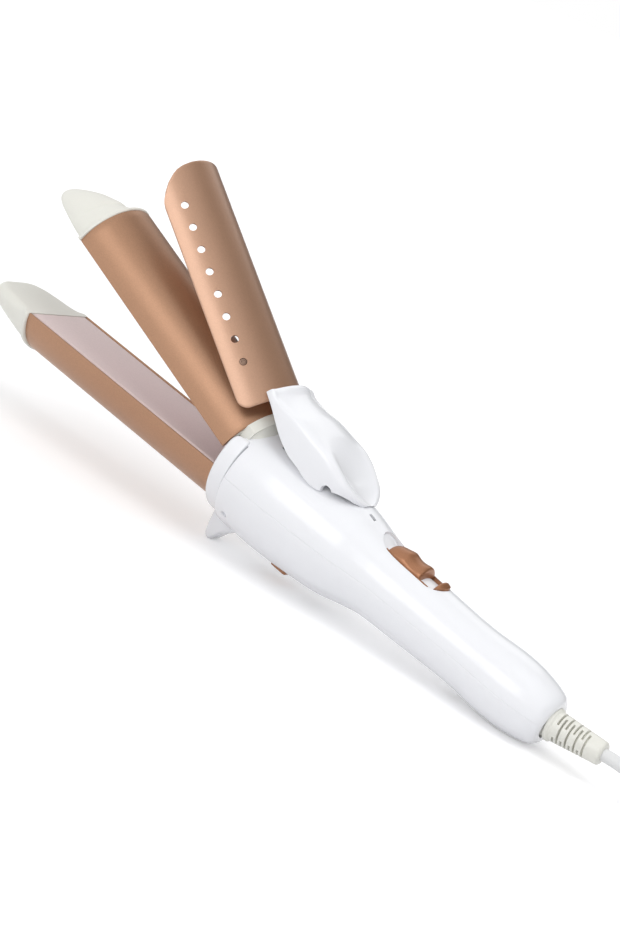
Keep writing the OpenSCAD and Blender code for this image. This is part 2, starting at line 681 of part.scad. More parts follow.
module barrel_carrier() {
    color([0.87, 0.86, 0.80]) barrel_opened() difference() {
        union() {
            difference() {
                union() {
                    intersection() {
                        rod_x(ring_back_x, ring_front_x, ring_r);
                        block([-20, -ring_half_w, -1], [20, ring_half_w, 30]);
                    }
                    rod_x(ring_front_x - 0.2, 14, shell_r - fit_gap);
                }
                block([-20, -30, -30], [ring_front_x, 30, upper_face_z]);
                rod_x(-20, ring_front_x - 0.1, ring_in_r);
                block([ring_front_x - 1, -30, -30], [20, 30, upper_face_z + plate_t + fit_gap]);
                block([4, -10, 3], [20, 10, 11]);
            }
            for (y = [-1, 1]) translate([0, y * (cheek_in + cheek_out) / 2, 0])
                across_y(cheek_out - cheek_in) carrier_cheek_outline();
            block([-13, -cheek_in - eps, upper_face_z],
                [ring_front_x, cheek_in + eps, web_top_z]);
            rod_y(clip_pin_x - 2.9, 12.6, -cheek_in - eps, cheek_in + eps, 1.2);
        }
        rod_y(barrel_pin_x, barrel_pin_z, -20, 20, pin_r + bore_gap);
        rod_y(clip_pin_x, clip_pin_z, -20, 20, pin_r + bore_gap);
    }
}

module barrel_pin() {
    reach = cheek_out + run_gap + frame_cheek_t;
    color([0.70, 0.71, 0.73]) on_table() rod_y(barrel_pin_x, barrel_pin_z, -reach, reach, pin_r);
}

// Points of a torsion spring: a leg, the curls from one angle to the other and a leg
function torsion_points(start, finish, leg_a, leg_b) = let (
    sweep = 360 * coil_turns + finish - start, n = round(sweep / 360 * coil_rings),
    curls = [for (i = [0:n]) let (a = start + sweep * i / n)
        [coil_r * cos(a), -coil_w / 2 + coil_w * i / n, coil_r * sin(a)]])
    concat([curls[0] + leg_a * [sin(start), 0, -cos(start)]], curls,
        [curls[n] + leg_b * [-sin(finish), 0, cos(finish)]]);

barrel_coil = torsion_points(-90, 90 + barrel_open, 8.6, 7);
clip_coil = torsion_points(-68, 62, 4.4, 6.2);
echo(barrel_spring_gap = least_gap(barrel_coil, coil_rings / 2, 2 * wire_r));
echo(clip_spring_gap = least_gap(clip_coil, coil_rings / 2, 2 * wire_r));

module barrel_spring() {
    color([0.62, 0.63, 0.66]) on_table() translate([barrel_pin_x, 0, barrel_pin_z])
        tube(barrel_coil, wire_r, 6, [0, 1, 0]);
}

module clip_spring() {
    color([0.62, 0.63, 0.66]) barrel_opened() translate([clip_pin_x, 0, clip_pin_z])
        tube(clip_coil, wire_r, 6, [0, 1, 0]);
}

// Outline of the unrolled clip, seen from above: the rounded end, the straight edges and the base
module clip_outline() {
    edge_y = clip_r * sin(clip_wrap);
    half = [[clip_tongue_x, clip_tongue_half_w], [clip_base_x, clip_tongue_half_w],
        [clip_base_x, edge_y - 1.7], [clip_base_x + 1, edge_y - 0.7], [clip_base_x + 4, edge_y + 0.3],
        [clip_end_x - 12.3, edge_y + 0.3], [clip_end_x - 9.9, edge_y - 0.12],
        [clip_end_x - 7, edge_y - 0.75], [clip_end_x - 4.3, edge_y - 1.75],
        [clip_end_x - 2.3, edge_y - 3.2], [clip_end_x - 0.9, edge_y - 5.4],
        [clip_end_x - 0.2, edge_y - 9]];
    polygon(concat(half, [for (i = [len(half) - 1:-1:0]) [half[i][0], -half[i][1]]]));
}

module clip_holes(first, last, r) {
    for (k = [first:last], side = [-1, 1])
        translate([clip_end_x - 13.7 - vent_pitch * k, 0, 0]) rotate([side * vent_angle, 0, 0])
            translate([0, 0, clip_r - 4]) cylinder(8, r = r, $fn = 24);
}

module clip_plate() {
    color([0.78, 0.58, 0.47]) clip_opened() difference() {
        intersection() {
            difference() {
                rod_x(clip_tongue_x, clip_end_x + 1, clip_r);
                rod_x(clip_tongue_x - 1, clip_end_x + 2, clip_r - clip_t);
            }
            linear_extrude(40) clip_outline();
        }
        clip_holes(0, vent_count, vent_d / 2);
    }
}

module clip_rivets() {
    x = clip_end_x - 13.7 - vent_pitch * vent_count;
    color([0.55, 0.42, 0.36]) clip_opened() for (side = [-1, 1])
        translate([x, 0, 0]) rotate([side * vent_angle, 0, 0])
            translate([0, 0, clip_r - clip_t]) {
                cylinder(clip_t + 0.2, r = vent_d / 2 - 0.02, $fn = 24);
            }
}

// Cross-section of the lever at one station: outer arch, then the inner arch back
// s holds the place, the half width, the foot, the shoulder, the crest and the wall's share
function lever_half(s, inset) = let (w = s[1] - inset, ws = s[1] - 2.4 - inset * 0.6,
    zs = s[3] - inset, zc = s[4] - inset, foot = s[2]) [[w, foot], [w, foot + 0.5 * (zs - foot)],
    [w - 0.5, foot + 0.86 * (zs - foot)], [ws, zs], [ws * 0.7, zs * 0.49 + zc * 0.51],
    [ws * 0.36, zs * 0.13 + zc * 0.87]];
function lever_arch(s, inset) = let (h = lever_half(s, inset)) concat([for (p = h) p],
    [[0, s[4] - inset]], [for (i = [len(h) - 1:-1:0]) [-h[i][0], h[i][1]]]);
function lever_ring(s) = let (outer = lever_arch(s, 0), inner = lever_arch(s, lever_wall * s[5]))
    [for (p = concat(outer, [for (i = [len(inner) - 1:-1:0]) inner[i]])) [s[0], p[0], p[1]]];

lever_stations = [[-39.2, -9.8, 27.5, 28.7, 28.5, 0.4], [-37.5, -6.9, 26.8, 28.7, 28, 0.5],
    [-35, -4, 25.9, 28.7, 27.5, 0.7], [-32, -2, 23.4, 28.6, 27.1, 0.9], [-29, -1, 18.9, 28.5, 26.6, 1],
    [-25, -0.2, 16.9, 28.3, 26.9, 1], [-20, 0.1, 15.7, 27.5, 27.3, 1],
    [-14.4, 0.1, 14.7, 25.4, 27.2, 1], [-8, 0, 13.5, 21.9, 24.8, 1], [-3, 0, 13.5, 18.9, 22, 1],
    [2, 0, 13.6, 17, 19.9, 1], [7, -0.1, 13.5, 16.3, 19.25, 1]];

module thumb_lever() {
    ear_in = cheek_out + run_gap;
    ear_out = lever_half_w - 1.2;
    color([0.95, 0.95, 0.97]) clip_opened() difference() {
        union() {
            loft([for (s = lever_stations)
                lever_ring([s[0], lever_half_w + s[1], s[2], s[3], s[4], s[5]])], arch = true);
            for (y0 = [ear_in, -ear_out])
                rod_y(clip_pin_x, clip_pin_z, y0, y0 + ear_out - ear_in, boss_r - 0.2);
        }
        rod_y(clip_pin_x, clip_pin_z, -ear_out + 0.6, ear_out - 0.6, pin_r + 0.02);
    }
}

module clip_pin() {
    reach = lever_half_w - 1.9;
    color([0.70, 0.71, 0.73]) clip_opened() rod_y(clip_pin_x, clip_pin_z, -reach, reach, pin_r);
}

module switch_bezel() {
    lip_x = -switch_x - switch_len + 0.4;
    lip_z = handle_r(lip_x + 1.5);
    color([0.72, 0.44, 0.30]) in_handle() difference() {
        union() {
            intersection() {
                handle_body(-0.4);
                translate([0, 0, 0.5]) linear_extrude(20) recess_outline(0.15);
            }
            intersection() {
                across_y(7) polygon([[lip_x, lip_z - 2], [lip_x, lip_z - 0.4],
                    [lip_x + 0.6, lip_z + 0.6], [lip_x + 2.2, lip_z + 1.2],
                    [lip_x + 3.4, lip_z + 1.1], [lip_x + 3.4, lip_z - 2]]);
                linear_extrude(20) recess_outline(0.6);
            }
        }
        handle_body(-handle_wall - 0.8);
        linear_extrude(30) slot_outline(0);
    }
}

// Slot that the slider runs in, seen from above; the slider is smaller and shorter
module slot_outline(inset, shorter = 0) {
    front = -switch_x - slot_inset - slot_half_w;
    length = switch_len - 2 * slot_inset - 2 * slot_half_w - shorter;
    r = slot_half_w - inset;
    translate([front, 0]) circle(r, $fn = bore_fn);
    translate([front - length, -r]) square([length, 2 * r]);
    translate([front - length, 0]) circle(r, $fn = bore_fn);
}

module switch_slider() {
    front = -switch_x - slot_inset - run_gap;
    back = front - (switch_len - 2 * slot_inset - switch_travel) + 2 * run_gap;
    top = handle_r(-switch_x - 14);
    color([0.72, 0.44, 0.30]) in_handle() {
        intersection() {
            across_y(2 * slot_half_w) polygon([[front, top - 1.4], [front, top + 0.4],
                [front - 2.2, top + 1.2], [front - 5.6, top + 1.6], [front - 8.3, top + 2.2],
                [front - 12.3, top + 1.7], [back + 1.8, top + 2], [back + 0.5, top + 1.6],
                [back, top + 1.2], [back, top - 1.4]]);
            linear_extrude(30) slot_outline(run_gap, switch_travel);
        }
        block([stem_x - 1.5, -1.4, board_z + board_t + switch_h - 1.8],
            [stem_x + 1.5, 1.4, top - 1.3]);
    }
}

module switch_body() {
    low = board_z + board_t;
    color([0.15, 0.15, 0.16]) in_handle() difference() {
        block([-switch_x - 24, -4, low], [-switch_x - 2, 4, low + switch_h]);
        block([stem_x - 2 - switch_travel, -1.8, low + switch_h - 2.2],
            [stem_x + 2, 1.8, low + switch_h + 1]);
    }
}

module circuit_board() {
    top = board_z + board_t;
    x = board_back_x + 3;
    color([0.20, 0.42, 0.25]) in_handle() {
        block([board_back_x, -7, board_z], [board_front_x, 7, top]);
        block([x, 3.6, top], [x + 4.4, 6.2, top + 2.4]);
        block([x + 6, 4, top], [x + 9, 6, top + 1.4]);
        block([x + 10.6, -6.6, top], [x + 13.6, -4.3, top + 2]);
        translate([x, -4.4, top]) cylinder(4.6, r = 2, $fn = 24);
    }
}

module thermal_fuse() {
    back = board_back_x + 4;
    front = -switch_x - 25.4;
    color([0.80, 0.78, 0.72]) in_handle() translate([0, 0.4, board_z + board_t + 1.9]) {
        rod_x(back + 2.5, front - 1.6, 1.8);
        rod_x(back, back + 2.5 + eps, 0.4);
        rod_x(front - 1.6 - eps, front, 0.4);
    }
}

// Leads from the board to the lower heater, round the knuckle and through the arm block
module inner_leads() {
    for (side = [-1, 1])
        color(side > 0 ? [0.75, 0.15, 0.12] : [0.92, 0.92, 0.90]) on_table()
            tube([[board_front_x + 0.6, side * 4, -5.4], [board_front_x + 4, side * 4, -6.5],
                [screw_x[0] - 3, side * 5, -9.6],
                [-45, side * 6, -11.6], [-38, side * 6.4, -12.4], [-30, side * 6.4, -13.6],
                [-24, side * 6, -14.4], [-19, side * 5.2, -13.6], [-15, side * 3.8, -11],
                [-12.6, side * 3.1, -9.4], [-10, side * 3, -9], [9, side * 3, -9],
                [13.6, side * 3, -7], [17, side * 3, -5.2], [heater_x + 0.95, side * 3, -5.1]],
                0.9, 8);
}

module lock_slider() {
    bottom = -handle_r(lock_x);
    inner = bottom + handle_wall;
    color([0.72, 0.44, 0.30]) in_handle() {
        block([lock_x - lock_len / 2, -lock_w / 2, bottom - 1.2],
            [lock_x + lock_len / 2, lock_w / 2, inner + 0.2]);
        block([lock_x - lock_len / 2 + 1, -lock_w / 2 + 1, bottom - 1.6],
            [lock_x + lock_len / 2 - 1, lock_w / 2 - 1, bottom - 1.2 + eps]);
        block([lock_x - 5, -3.8, inner + 1.1], [lock_x + 5.2, 3.8, inner + 2.6]);
        block([lock_x - 1.5, -1.5, inner], [lock_x + 1.5, 1.5, inner + 1.2]);
    }
}

// Self-tapping screws that hold the two shells together
module shell_screws() {
    color([0.68, 0.69, 0.71]) in_handle() for (x = screw_x) translate([x, 0, -6]) difference() {
        union() {
            translate([0, 0, -1.8]) cylinder(1.8, r = screw_head_r, $fn = bore_fn);
            cylinder(11, r = screw_r, $fn = bore_fn);
        }
        translate([0, 0, -1]) cube([3.2, 0.7, 1.8], center = true);
        translate([0, 0, -1]) cube([0.7, 3.2, 1.8], center = true);
    }
}

// Ribbed sleeve of the cord: a base ring, staggered slots and a plain end
module strain_relief() {
    slot_count = 4;
    slot_w = 0.7;
    slot_x0 = 3;
    pitch = (relief_len - slot_x0 - 3.2) / slot_count;
    color([0.87, 0.87, 0.83]) in_relief() difference() {
        union() {
            turned([[-relief_seat, 0], [-relief_seat, 6.4], [-relief_seat + 2.2, 6.4],
                [-relief_seat + 2.2, relief_base_r], [relief_len - 0.8, relief_end_r],
                [relief_len, relief_end_r - 0.7], [relief_len, 0]]);
            rod_x(0.3, 1.8, relief_base_r + 0.3);
        }
        rod_x(-relief_seat - 1, relief_len + 1, cord_d / 2 + bore_gap);
        for (i = [0:slot_count - 1], side = [0, 1]) {
            x = slot_x0 + i * pitch + side * pitch / 2;
            rotate([90 * side, 0, 0]) for (end = [-1, 1])
                block([x, -6, min(end * 1.2, end * 8)], [x + slot_w, 6, max(end * 1.2, end * 8)]);
        }
    }
}

module inner_cord() {
    color([0.87, 0.87, 0.84]) in_relief() rod_x(-26, relief_len, cord_d / 2);
}

module cord_clamp() {
    color([0.90, 0.90, 0.88]) in_handle() translate([clamp_x, 0, 0]) {
        block([-2, -5.5, clamp_bar_z], [2, 5.5, clamp_bar_z + 1.8]);
        for (side = [-1, 1]) translate([0, side * 4.4, clamp_pad_z])
            cylinder(clamp_bar_z - clamp_pad_z + eps, r = 1, $fn = bore_fn);
    }
}

module cord() {
    color([0.87, 0.87, 0.84]) tube([for (p = cord_route) cord_exit + p], cord_d / 2, 10);
}

module cord_hank() { color([0.87, 0.87, 0.84]) tube(hank_path, cord_r, 6); }

module cord_end() {
    color([0.87, 0.87, 0.84]) tube([for (p = end_route) hank_end + p], cord_r, 10);
}

// Band round the drawn-in waist of the folded cord
module cord_tie() {
    half_w = outer_fold_r - waist_pull + cord_r + 0.9;
    low = hank_z - cord_r - fit_gap;
    high = hank_z + (hank_layers - 1) * layer_pitch + cord_r + fit_gap;
    color([0.80, 0.80, 0.78]) translate([hank_x, 0, 0]) rotate([90, 0, 90])
        linear_extrude(tie_w, center = true) difference() {
            translate([-half_w - tie_t, low - tie_t]) square([2 * (half_w + tie_t),
                high - low + 2 * tie_t]);
            translate([-half_w, low]) square([2 * half_w, high - low]);
        }
}

// Flat two-pin plug with a tapered tail
module plug_body() {
    color([0.87, 0.87, 0.84]) translate(plug_start) {
        hull() {
            rod_x(0, 1, cord_r + 1.4);
            rod_x(plug_tail_len, plug_tail_len + 1, cord_r + 3, $fn = 32);
        }
        hull() for (s = [[plug_tail_len, 6, 10], [plug_tail_len + 12, plug_h / 2, plug_w - 4],
            [plug_tail_len + plug_len, plug_h / 2, plug_w]]) for (side = [-1, 1])
            translate([s[0] - 2, side * (s[2] / 2 - s[1]), 0]) along_x()
                cylinder(2, r = s[1], $fn = 32);
    }
}

module plug_pins() {
    x = plug_tail_len + plug_len;
    color([0.75, 0.75, 0.74]) translate(plug_start) for (side = [-1, 1])
        translate([0, side * prong_gap / 2, 0]) {
            rod_x(x, x + prong_len - 1, prong_r);
            translate([x + prong_len - 1, 0, 0]) along_x() cylinder(1, r1 = prong_r, r2 = prong_r - 0.8);
        }
}

handle_upper_shell();
handle_lower_shell();
front_collar();
lower_arm_shell();
lower_plate();
lower_tip_cap();
lower_arm_block();
lower_heater();
lower_heater_clamp();
upper_barrel_shell();
upper_plate();
upper_tip_cap();
upper_heater();
upper_heater_clamp();
barrel_carrier();
barrel_pin();
barrel_spring();
clip_plate();
clip_rivets();
thumb_lever();
clip_pin();
clip_spring();
switch_bezel();
switch_slider();
switch_body();
circuit_board();
thermal_fuse();
inner_leads();
lock_slider();
shell_screws();
strain_relief();
inner_cord();
cord_clamp();
cord();
cord_hank();
cord_tie();
cord_end();
plug_body();
plug_pins();
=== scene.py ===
"""Two-in-one hair tool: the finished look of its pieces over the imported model.

Sizes are in millimetres in the tool's frame: x runs along the closed barrel from the front of the
collar towards the tips, y points to the left and z up. Each piece's mesh is then carried to where
it rests, in metres.
"""
import json
import logging
import math
from collections.abc import Iterable, Sequence
from dataclasses import dataclass
from enum import Enum
from functools import cached_property

import bmesh
import bpy
from mathutils import Matrix, Vector


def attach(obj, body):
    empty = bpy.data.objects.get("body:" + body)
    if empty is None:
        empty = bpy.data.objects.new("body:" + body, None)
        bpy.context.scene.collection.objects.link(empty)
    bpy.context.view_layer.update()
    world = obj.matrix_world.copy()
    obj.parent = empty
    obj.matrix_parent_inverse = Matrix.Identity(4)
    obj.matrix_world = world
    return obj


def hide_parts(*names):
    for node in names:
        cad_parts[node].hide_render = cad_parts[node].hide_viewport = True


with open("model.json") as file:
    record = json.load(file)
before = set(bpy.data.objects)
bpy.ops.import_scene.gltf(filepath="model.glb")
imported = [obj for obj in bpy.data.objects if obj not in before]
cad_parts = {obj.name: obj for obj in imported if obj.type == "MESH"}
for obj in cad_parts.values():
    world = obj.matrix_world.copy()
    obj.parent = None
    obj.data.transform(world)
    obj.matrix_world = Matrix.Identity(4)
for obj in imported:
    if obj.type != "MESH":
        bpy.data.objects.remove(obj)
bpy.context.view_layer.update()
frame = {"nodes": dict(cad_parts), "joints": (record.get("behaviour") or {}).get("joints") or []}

logging.basicConfig(level=logging.INFO, format="%(message)s")
log = logging.getLogger("hair_tool")

Point = tuple[float, float]
Triple = tuple[float, float, float]
Row = tuple[float, ...]
Piece = bpy.types.Object
Socket = bpy.types.NodeSocket
Feeds = dict[str | int, object]

WHITE = (1.0, 1.0, 1.0, 1.0)


class Body(Enum):
    """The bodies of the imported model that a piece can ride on."""

    HOUSING = "housing"
    BARREL = "barrel"
    CLIP = "clip"
    SLIDER = "power_slider"
    LOCK = "lock"


class Grain(Enum):
    """What a finish shows from close by."""

    MOULDED = "fine moulded skin"
    FLAKE = "metal flakes under lacquer"
    BRUSHED = "lines drawn along the piece"


class Merge(Enum):
    """How one solid changes another."""

    CUT = "DIFFERENCE"
    FUSE = "UNION"


def put(data: bpy.types.ID) -> Piece:
    """Puts a new object into the scene.

    Args:
        data: Its mesh, curve, lamp or camera.

    Returns:
        The object, with the name of its data.
    """
    obj = bpy.data.objects.new(data.name, data)
    bpy.context.scene.collection.objects.link(obj)
    return obj


# Nodes and finishes


class Graph:
    """A node tree with short ways to add nodes and to feed their inputs."""

    def __init__(self, tree: bpy.types.NodeTree, kinds: str = "ShaderNode") -> None:
        """Keeps the tree and what the names of its kinds of node begin with."""
        self.tree = tree
        self.kinds = kinds

    def feed(self, node: bpy.types.Node, feeds: Feeds) -> None:
        """Links sockets to a node's inputs, or sets their values.

        Args:
            node: The node.
            feeds: A socket or a value for each input, by its name or number.
        """
        for key, value in feeds.items():
            if isinstance(value, Socket):
                self.tree.links.new(value, node.inputs[key])
            else:
                node.inputs[key].default_value = value

    def add(self, kind: str, out: str | int, feeds: Feeds | None = None,
            **settings: str) -> Socket:
        """Adds a node.

        Args:
            kind: Its type.
            out: Name or number of the output that is wanted.
            feeds: What its inputs get.
            settings: Its properties.

        Returns:
            The wanted output.
        """
        node = self.tree.nodes.new(self.kinds + kind)
        for name, value in settings.items():
            setattr(node, name, value)
        self.feed(node, feeds or {})
        return node.outputs[out]

    def calc(self, operation: str, a: Socket, b: Socket) -> Socket:
        """The result of an operation on two values."""
        return self.add("Math", 0, {0: a, 1: b}, operation=operation)

    def ray(self, kind: str) -> Socket:
        """Whether a ray is of a kind, as 1 or 0."""
        return self.add("LightPath", f"Is {kind} Ray")


@dataclass(frozen=True)
class Finish:
    """A surface finish made of procedural nodes on Object coordinates."""

    name: str
    colour: Triple
    roughness: float
    metallic: float = 0.0
    coat: float = 0.0
    coat_rough: float = 0.12
    mottle: float = 0.03
    bump: float = 0.05
    size: float = 0.4
    grain: Grain = Grain.MOULDED
    slot_name: str = ""
    broad_scale: float = 45.0
    broad_share: float = 0.35
    rough_spread: float = 0.12
    relief: float = 0.0002

    @property
    def slot(self) -> str:
        """The finish's slot name: its own name unless another one is given."""
        return self.slot_name or self.name

    def material(self) -> bpy.types.Material:
        """The finish as a node material, made once.

        Returns:
            The material, titled with the finish's name.
        """
        title = f"{self.name}_finish"
        if title in bpy.data.materials:
            return bpy.data.materials[title]
        mat = bpy.data.materials.new(title)
        mat.use_nodes = True
        mat.diffuse_color = (*self.colour, 1.0)
        graph = Graph(mat.node_tree)
        place = graph.add("TexCoord", "Object")
        if self.grain is Grain.BRUSHED:
            place = graph.add("Mapping", "Vector", {"Scale": (0.04, 1.0, 1.0), "Vector": place})
        if self.grain is Grain.FLAKE:
            cells = graph.add("TexVoronoi", "Color",
                              {"Scale": 1400.0 / self.size, "Vector": place})
            fine = graph.add("SeparateColor", "Red", {"Color": cells})
        else:
            fine = graph.add("TexNoise", "Fac",
                             {"Scale": 1000.0 / self.size, "Detail": 3.0, "Vector": place})
        broad = graph.add("TexNoise", "Fac",
                          {"Scale": self.broad_scale, "Detail": 2.0, "Vector": place})
        dark, light = ((*(min(1.0, c * (1.0 + share)) for c in self.colour), 1.0)
                       for share in (-self.mottle, self.mottle))
        blend = graph.add("Mix", "Result", {"Factor": self.broad_share, "A": fine, "B": broad})
        graph.feed(mat.node_tree.nodes["Principled BSDF"], {
            "Metallic": self.metallic,
            "Coat Weight": self.coat,
            "Coat Roughness": self.coat_rough,
            "Base Color": graph.add("Mix", "Result",
                                    {"Factor": blend, "A": dark, "B": light}, data_type="RGBA"),
            "Roughness": graph.add("MapRange", "Result", {
                "Value": broad, "To Min": self.roughness * (1.0 - self.rough_spread),
                "To Max": min(1.0, self.roughness * (1.0 + self.rough_spread))}),
            "Normal": graph.add("Bump", "Normal", {
                "Strength": self.bump, "Distance": self.relief, "Height": fine})})
        return mat


WHITE_GLOSS = Finish("white_gloss", (0.87, 0.878, 0.908), 0.24, coat=0.35, mottle=0.01,
                     bump=0.02, size=1.2)
CREAM = Finish("cream_plastic", (0.79, 0.785, 0.725), 0.38, bump=0.08, size=0.5)
COPPER = Finish("copper_enamel", (0.42, 0.23, 0.135), 0.42, metallic=0.6, coat=0.25,
                coat_rough=0.35, mottle=0.09, bump=0.06, size=0.35, grain=Grain.FLAKE)
CLIP_COPPER = Finish("clip_copper", (0.50, 0.285, 0.18), 0.37, metallic=0.5, coat=0.9,
                     coat_rough=0.3, mottle=0.07, size=0.35, grain=Grain.FLAKE)
PLATE = Finish("plate_coating", (0.77, 0.64, 0.63), 0.42, metallic=0.15, mottle=0.05, bump=0.04,
               size=0.5, grain=Grain.FLAKE)
COPPER_PLASTIC = Finish("copper_plastic", (0.39, 0.18, 0.092), 0.34, metallic=0.45, mottle=0.08,
                        size=0.3, grain=Grain.FLAKE)
STEEL = Finish("bright_steel", (0.62, 0.62, 0.63), 0.28, metallic=1.0, mottle=0.05,
               grain=Grain.BRUSHED, slot_name="steel")
RIVET = Finish("rivet_metal", (0.30, 0.20, 0.15), 0.4, metallic=0.9, mottle=0.1)
CERAMIC = Finish("heater_ceramic", (0.12, 0.11, 0.10), 0.7, mottle=0.15, bump=0.2)
# Dark plastic for the switch body; also the painted shade of the block under the handle's slot
DARK = Finish("dark_plastic", (0.025, 0.025, 0.027), 0.5, mottle=0.1)
BOARD = Finish("board_green", (0.03, 0.16, 0.05), 0.4, coat=0.3, mottle=0.2, size=3.0)
JACKET = Finish("cord_jacket", (0.76, 0.765, 0.765), 0.42, bump=0.1, size=0.6)
LEAD = Finish("lead_sleeve", (0.75, 0.72, 0.66), 0.6, mottle=0.06, bump=0.15)
TIE = Finish("tie_plastic", (0.62, 0.62, 0.60), 0.45, mottle=0.04)


# Frames of the tool


@dataclass(frozen=True)
class Seat:
    """A frame, as the matrix from its millimetres to the table's metres, and its body."""

    matrix: Matrix
    body: Body


class Places:
    """Where the parts of the tool rest and what they ride on."""

    BARREL_PIN = Vector((-19.6, 0.0, -4.6))
    CLIP_PIN = Vector((-17.5, 0.0, 19.2))
    HANDLE_DROP = 1.5
    HANDLE_DROOP = math.radians(0.8)
    RELIEF_BASE = Vector((-135.75, 0.0, -3.3))
    RELIEF_RISE = math.radians(1.8)

    def __init__(self, joints: list[dict]) -> None:
        """Reads the tilt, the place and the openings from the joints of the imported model.

        Args:
            joints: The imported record's joints.
        """
        by_name = {j["name"]: j for j in joints}
        slide = by_name["lock_slide"]["axis"]
        hinge = Vector(by_name["barrel_hinge"]["pos_m"]) * 1000.0
        opening, clip_opening = (abs(by_name[name]["range_deg"][0])
                                 for name in ("barrel_hinge", "clip_hinge"))
        tilt = math.atan2(slide[2], slide[0]) - self.HANDLE_DROOP
        turn = Matrix.Rotation(-tilt, 4, "Y")
        metres = Matrix.Scale(0.001, 4)
        tool = metres @ Matrix.Translation(hinge - turn @ self.BARREL_PIN) @ turn
        barrel = tool @ self._turned(self.BARREL_PIN, opening)
        handle = (tool @ Matrix.Translation((0, 0, -self.HANDLE_DROP))
                  @ Matrix.Rotation(-self.HANDLE_DROOP, 4, "Y"))
        relief = (tool @ Matrix.Translation(self.RELIEF_BASE)
                  @ Matrix.Rotation(math.pi + tilt + self.RELIEF_RISE, 4, "Y"))
        self.table, self.tool, self.handle, self.relief = (
            Seat(matrix, Body.HOUSING) for matrix in (metres, tool, handle, relief))
        self.barrel = Seat(barrel, Body.BARREL)
        self.clip = Seat(barrel @ self._turned(self.CLIP_PIN, clip_opening), Body.CLIP)
        self.slider, self.lock = (Seat(handle, body) for body in (Body.SLIDER, Body.LOCK))

    @staticmethod
    def _turned(pin: Vector, degrees: float) -> Matrix:
        """A turn up about a pin across the tool."""
        there = Matrix.Translation(pin)
        return there @ Matrix.Rotation(-math.radians(degrees), 4, "Y") @ there.inverted()


# Curves


def smooth_curve(knots: Sequence[Row], steps: int) -> list[Row]:
    """Catmull-Rom curve through knots of any number of values.

    Args:
        knots: The knots in order.
        steps: Points from one knot to the next.

    Returns:
        The points, the last knot included.
    """
    out: list[Row] = []
    last = len(knots) - 1
    for i in range(last):
        a, b = knots[max(0, i - 1)], knots[i]
        c, d = knots[i + 1], knots[min(last, i + 2)]
        for s in range(steps):
            t = s / steps
            out.append(tuple(
                0.5 * (2 * q + (r - p) * t + (2 * p - 5 * q + 4 * r - w) * t * t
                       + (3 * q - p - 3 * r + w) * t ** 3)
                for p, q, r, w in zip(a, b, c, d)))
    out.append(tuple(knots[last]))
    return out


def at(knots: Sequence[Point], x: float) -> float:
    """Value at x on straight lines between knots that run in rising x.

    Args:
        knots: Pairs of x and value.
        x: Where the value is wanted.

    Returns:
        The value, held constant past the ends.
    """
    if x <= knots[0][0]:
        return knots[0][1]
    for (x0, v0), (x1, v1) in zip(knots, knots[1:]):
        if x <= x1:
            return v0 + (v1 - v0) * (x - x0) / max(x1 - x0, 1e-9)
    return knots[-1][1]


def spread(start: float, stop: float, count: int) -> list[float]:
    """Evenly spread values from start to stop, both included."""
    return [start + (stop - start) * i / (count - 1) for i in range(count)]


def polar(x: float, r: float, angle: float) -> Vector:
    """Point at a radius about the x axis; the angle is in degrees from the top."""
    a = math.radians(angle)
    return Vector((x, r * math.sin(a), r * math.cos(a)))


def arc(cx: float, cy: float, r: float, angles: Iterable[float]) -> list[Point]:
    """Points on a circle at angles in degrees."""
    return [(cx + r * math.cos(math.radians(a)), cy + r * math.sin(math.radians(a)))
            for a in angles]


def rounded(low: Point, high: Point, r: float, count: int) -> list[Triple]:
    """Points round a rectangle with rounded corners.

    Args:
        low: Its lowest corner.
        high: Its highest corner.
        r: Radius of the corners.
        count: Points at each corner.

    Returns:
        The two places of each point and the way that it faces, in degrees.
    """
    (x0, y0), (x1, y1) = low, high
    points = []
    for cx, cy, start in ((x1 - r, y1 - r, 0), (x0 + r, y1 - r, 90), (x0 + r, y0 + r, 180),
                          (x1 - r, y0 + r, 270)):
        angles = [start + 90 / (count - 1) * k for k in range(count)]
        points += [(x, y, a) for (x, y), a in zip(arc(cx, cy, r, angles), angles)]
    return points


def lathe(profile: Sequence[Point], angle: float) -> list[Vector]:
    """A profile of x and radius at an angle from the top."""
    return [polar(x, r, angle) for x, r in profile]


def slice_at(x: float, pairs: Iterable[Point]) -> list[Vector]:
    """Points across the tool at x, from pairs of y and z."""
    return [Vector((x, y, z)) for y, z in pairs]


def fillet(share: float) -> float:
    """What a rounding of radius 1 takes off: 1 at its edge, 0 from a share of 1 on."""
    return 1 - math.sqrt(max(0.0, 1 - (1 - min(1.0, share)) ** 2))


# Mesh tools


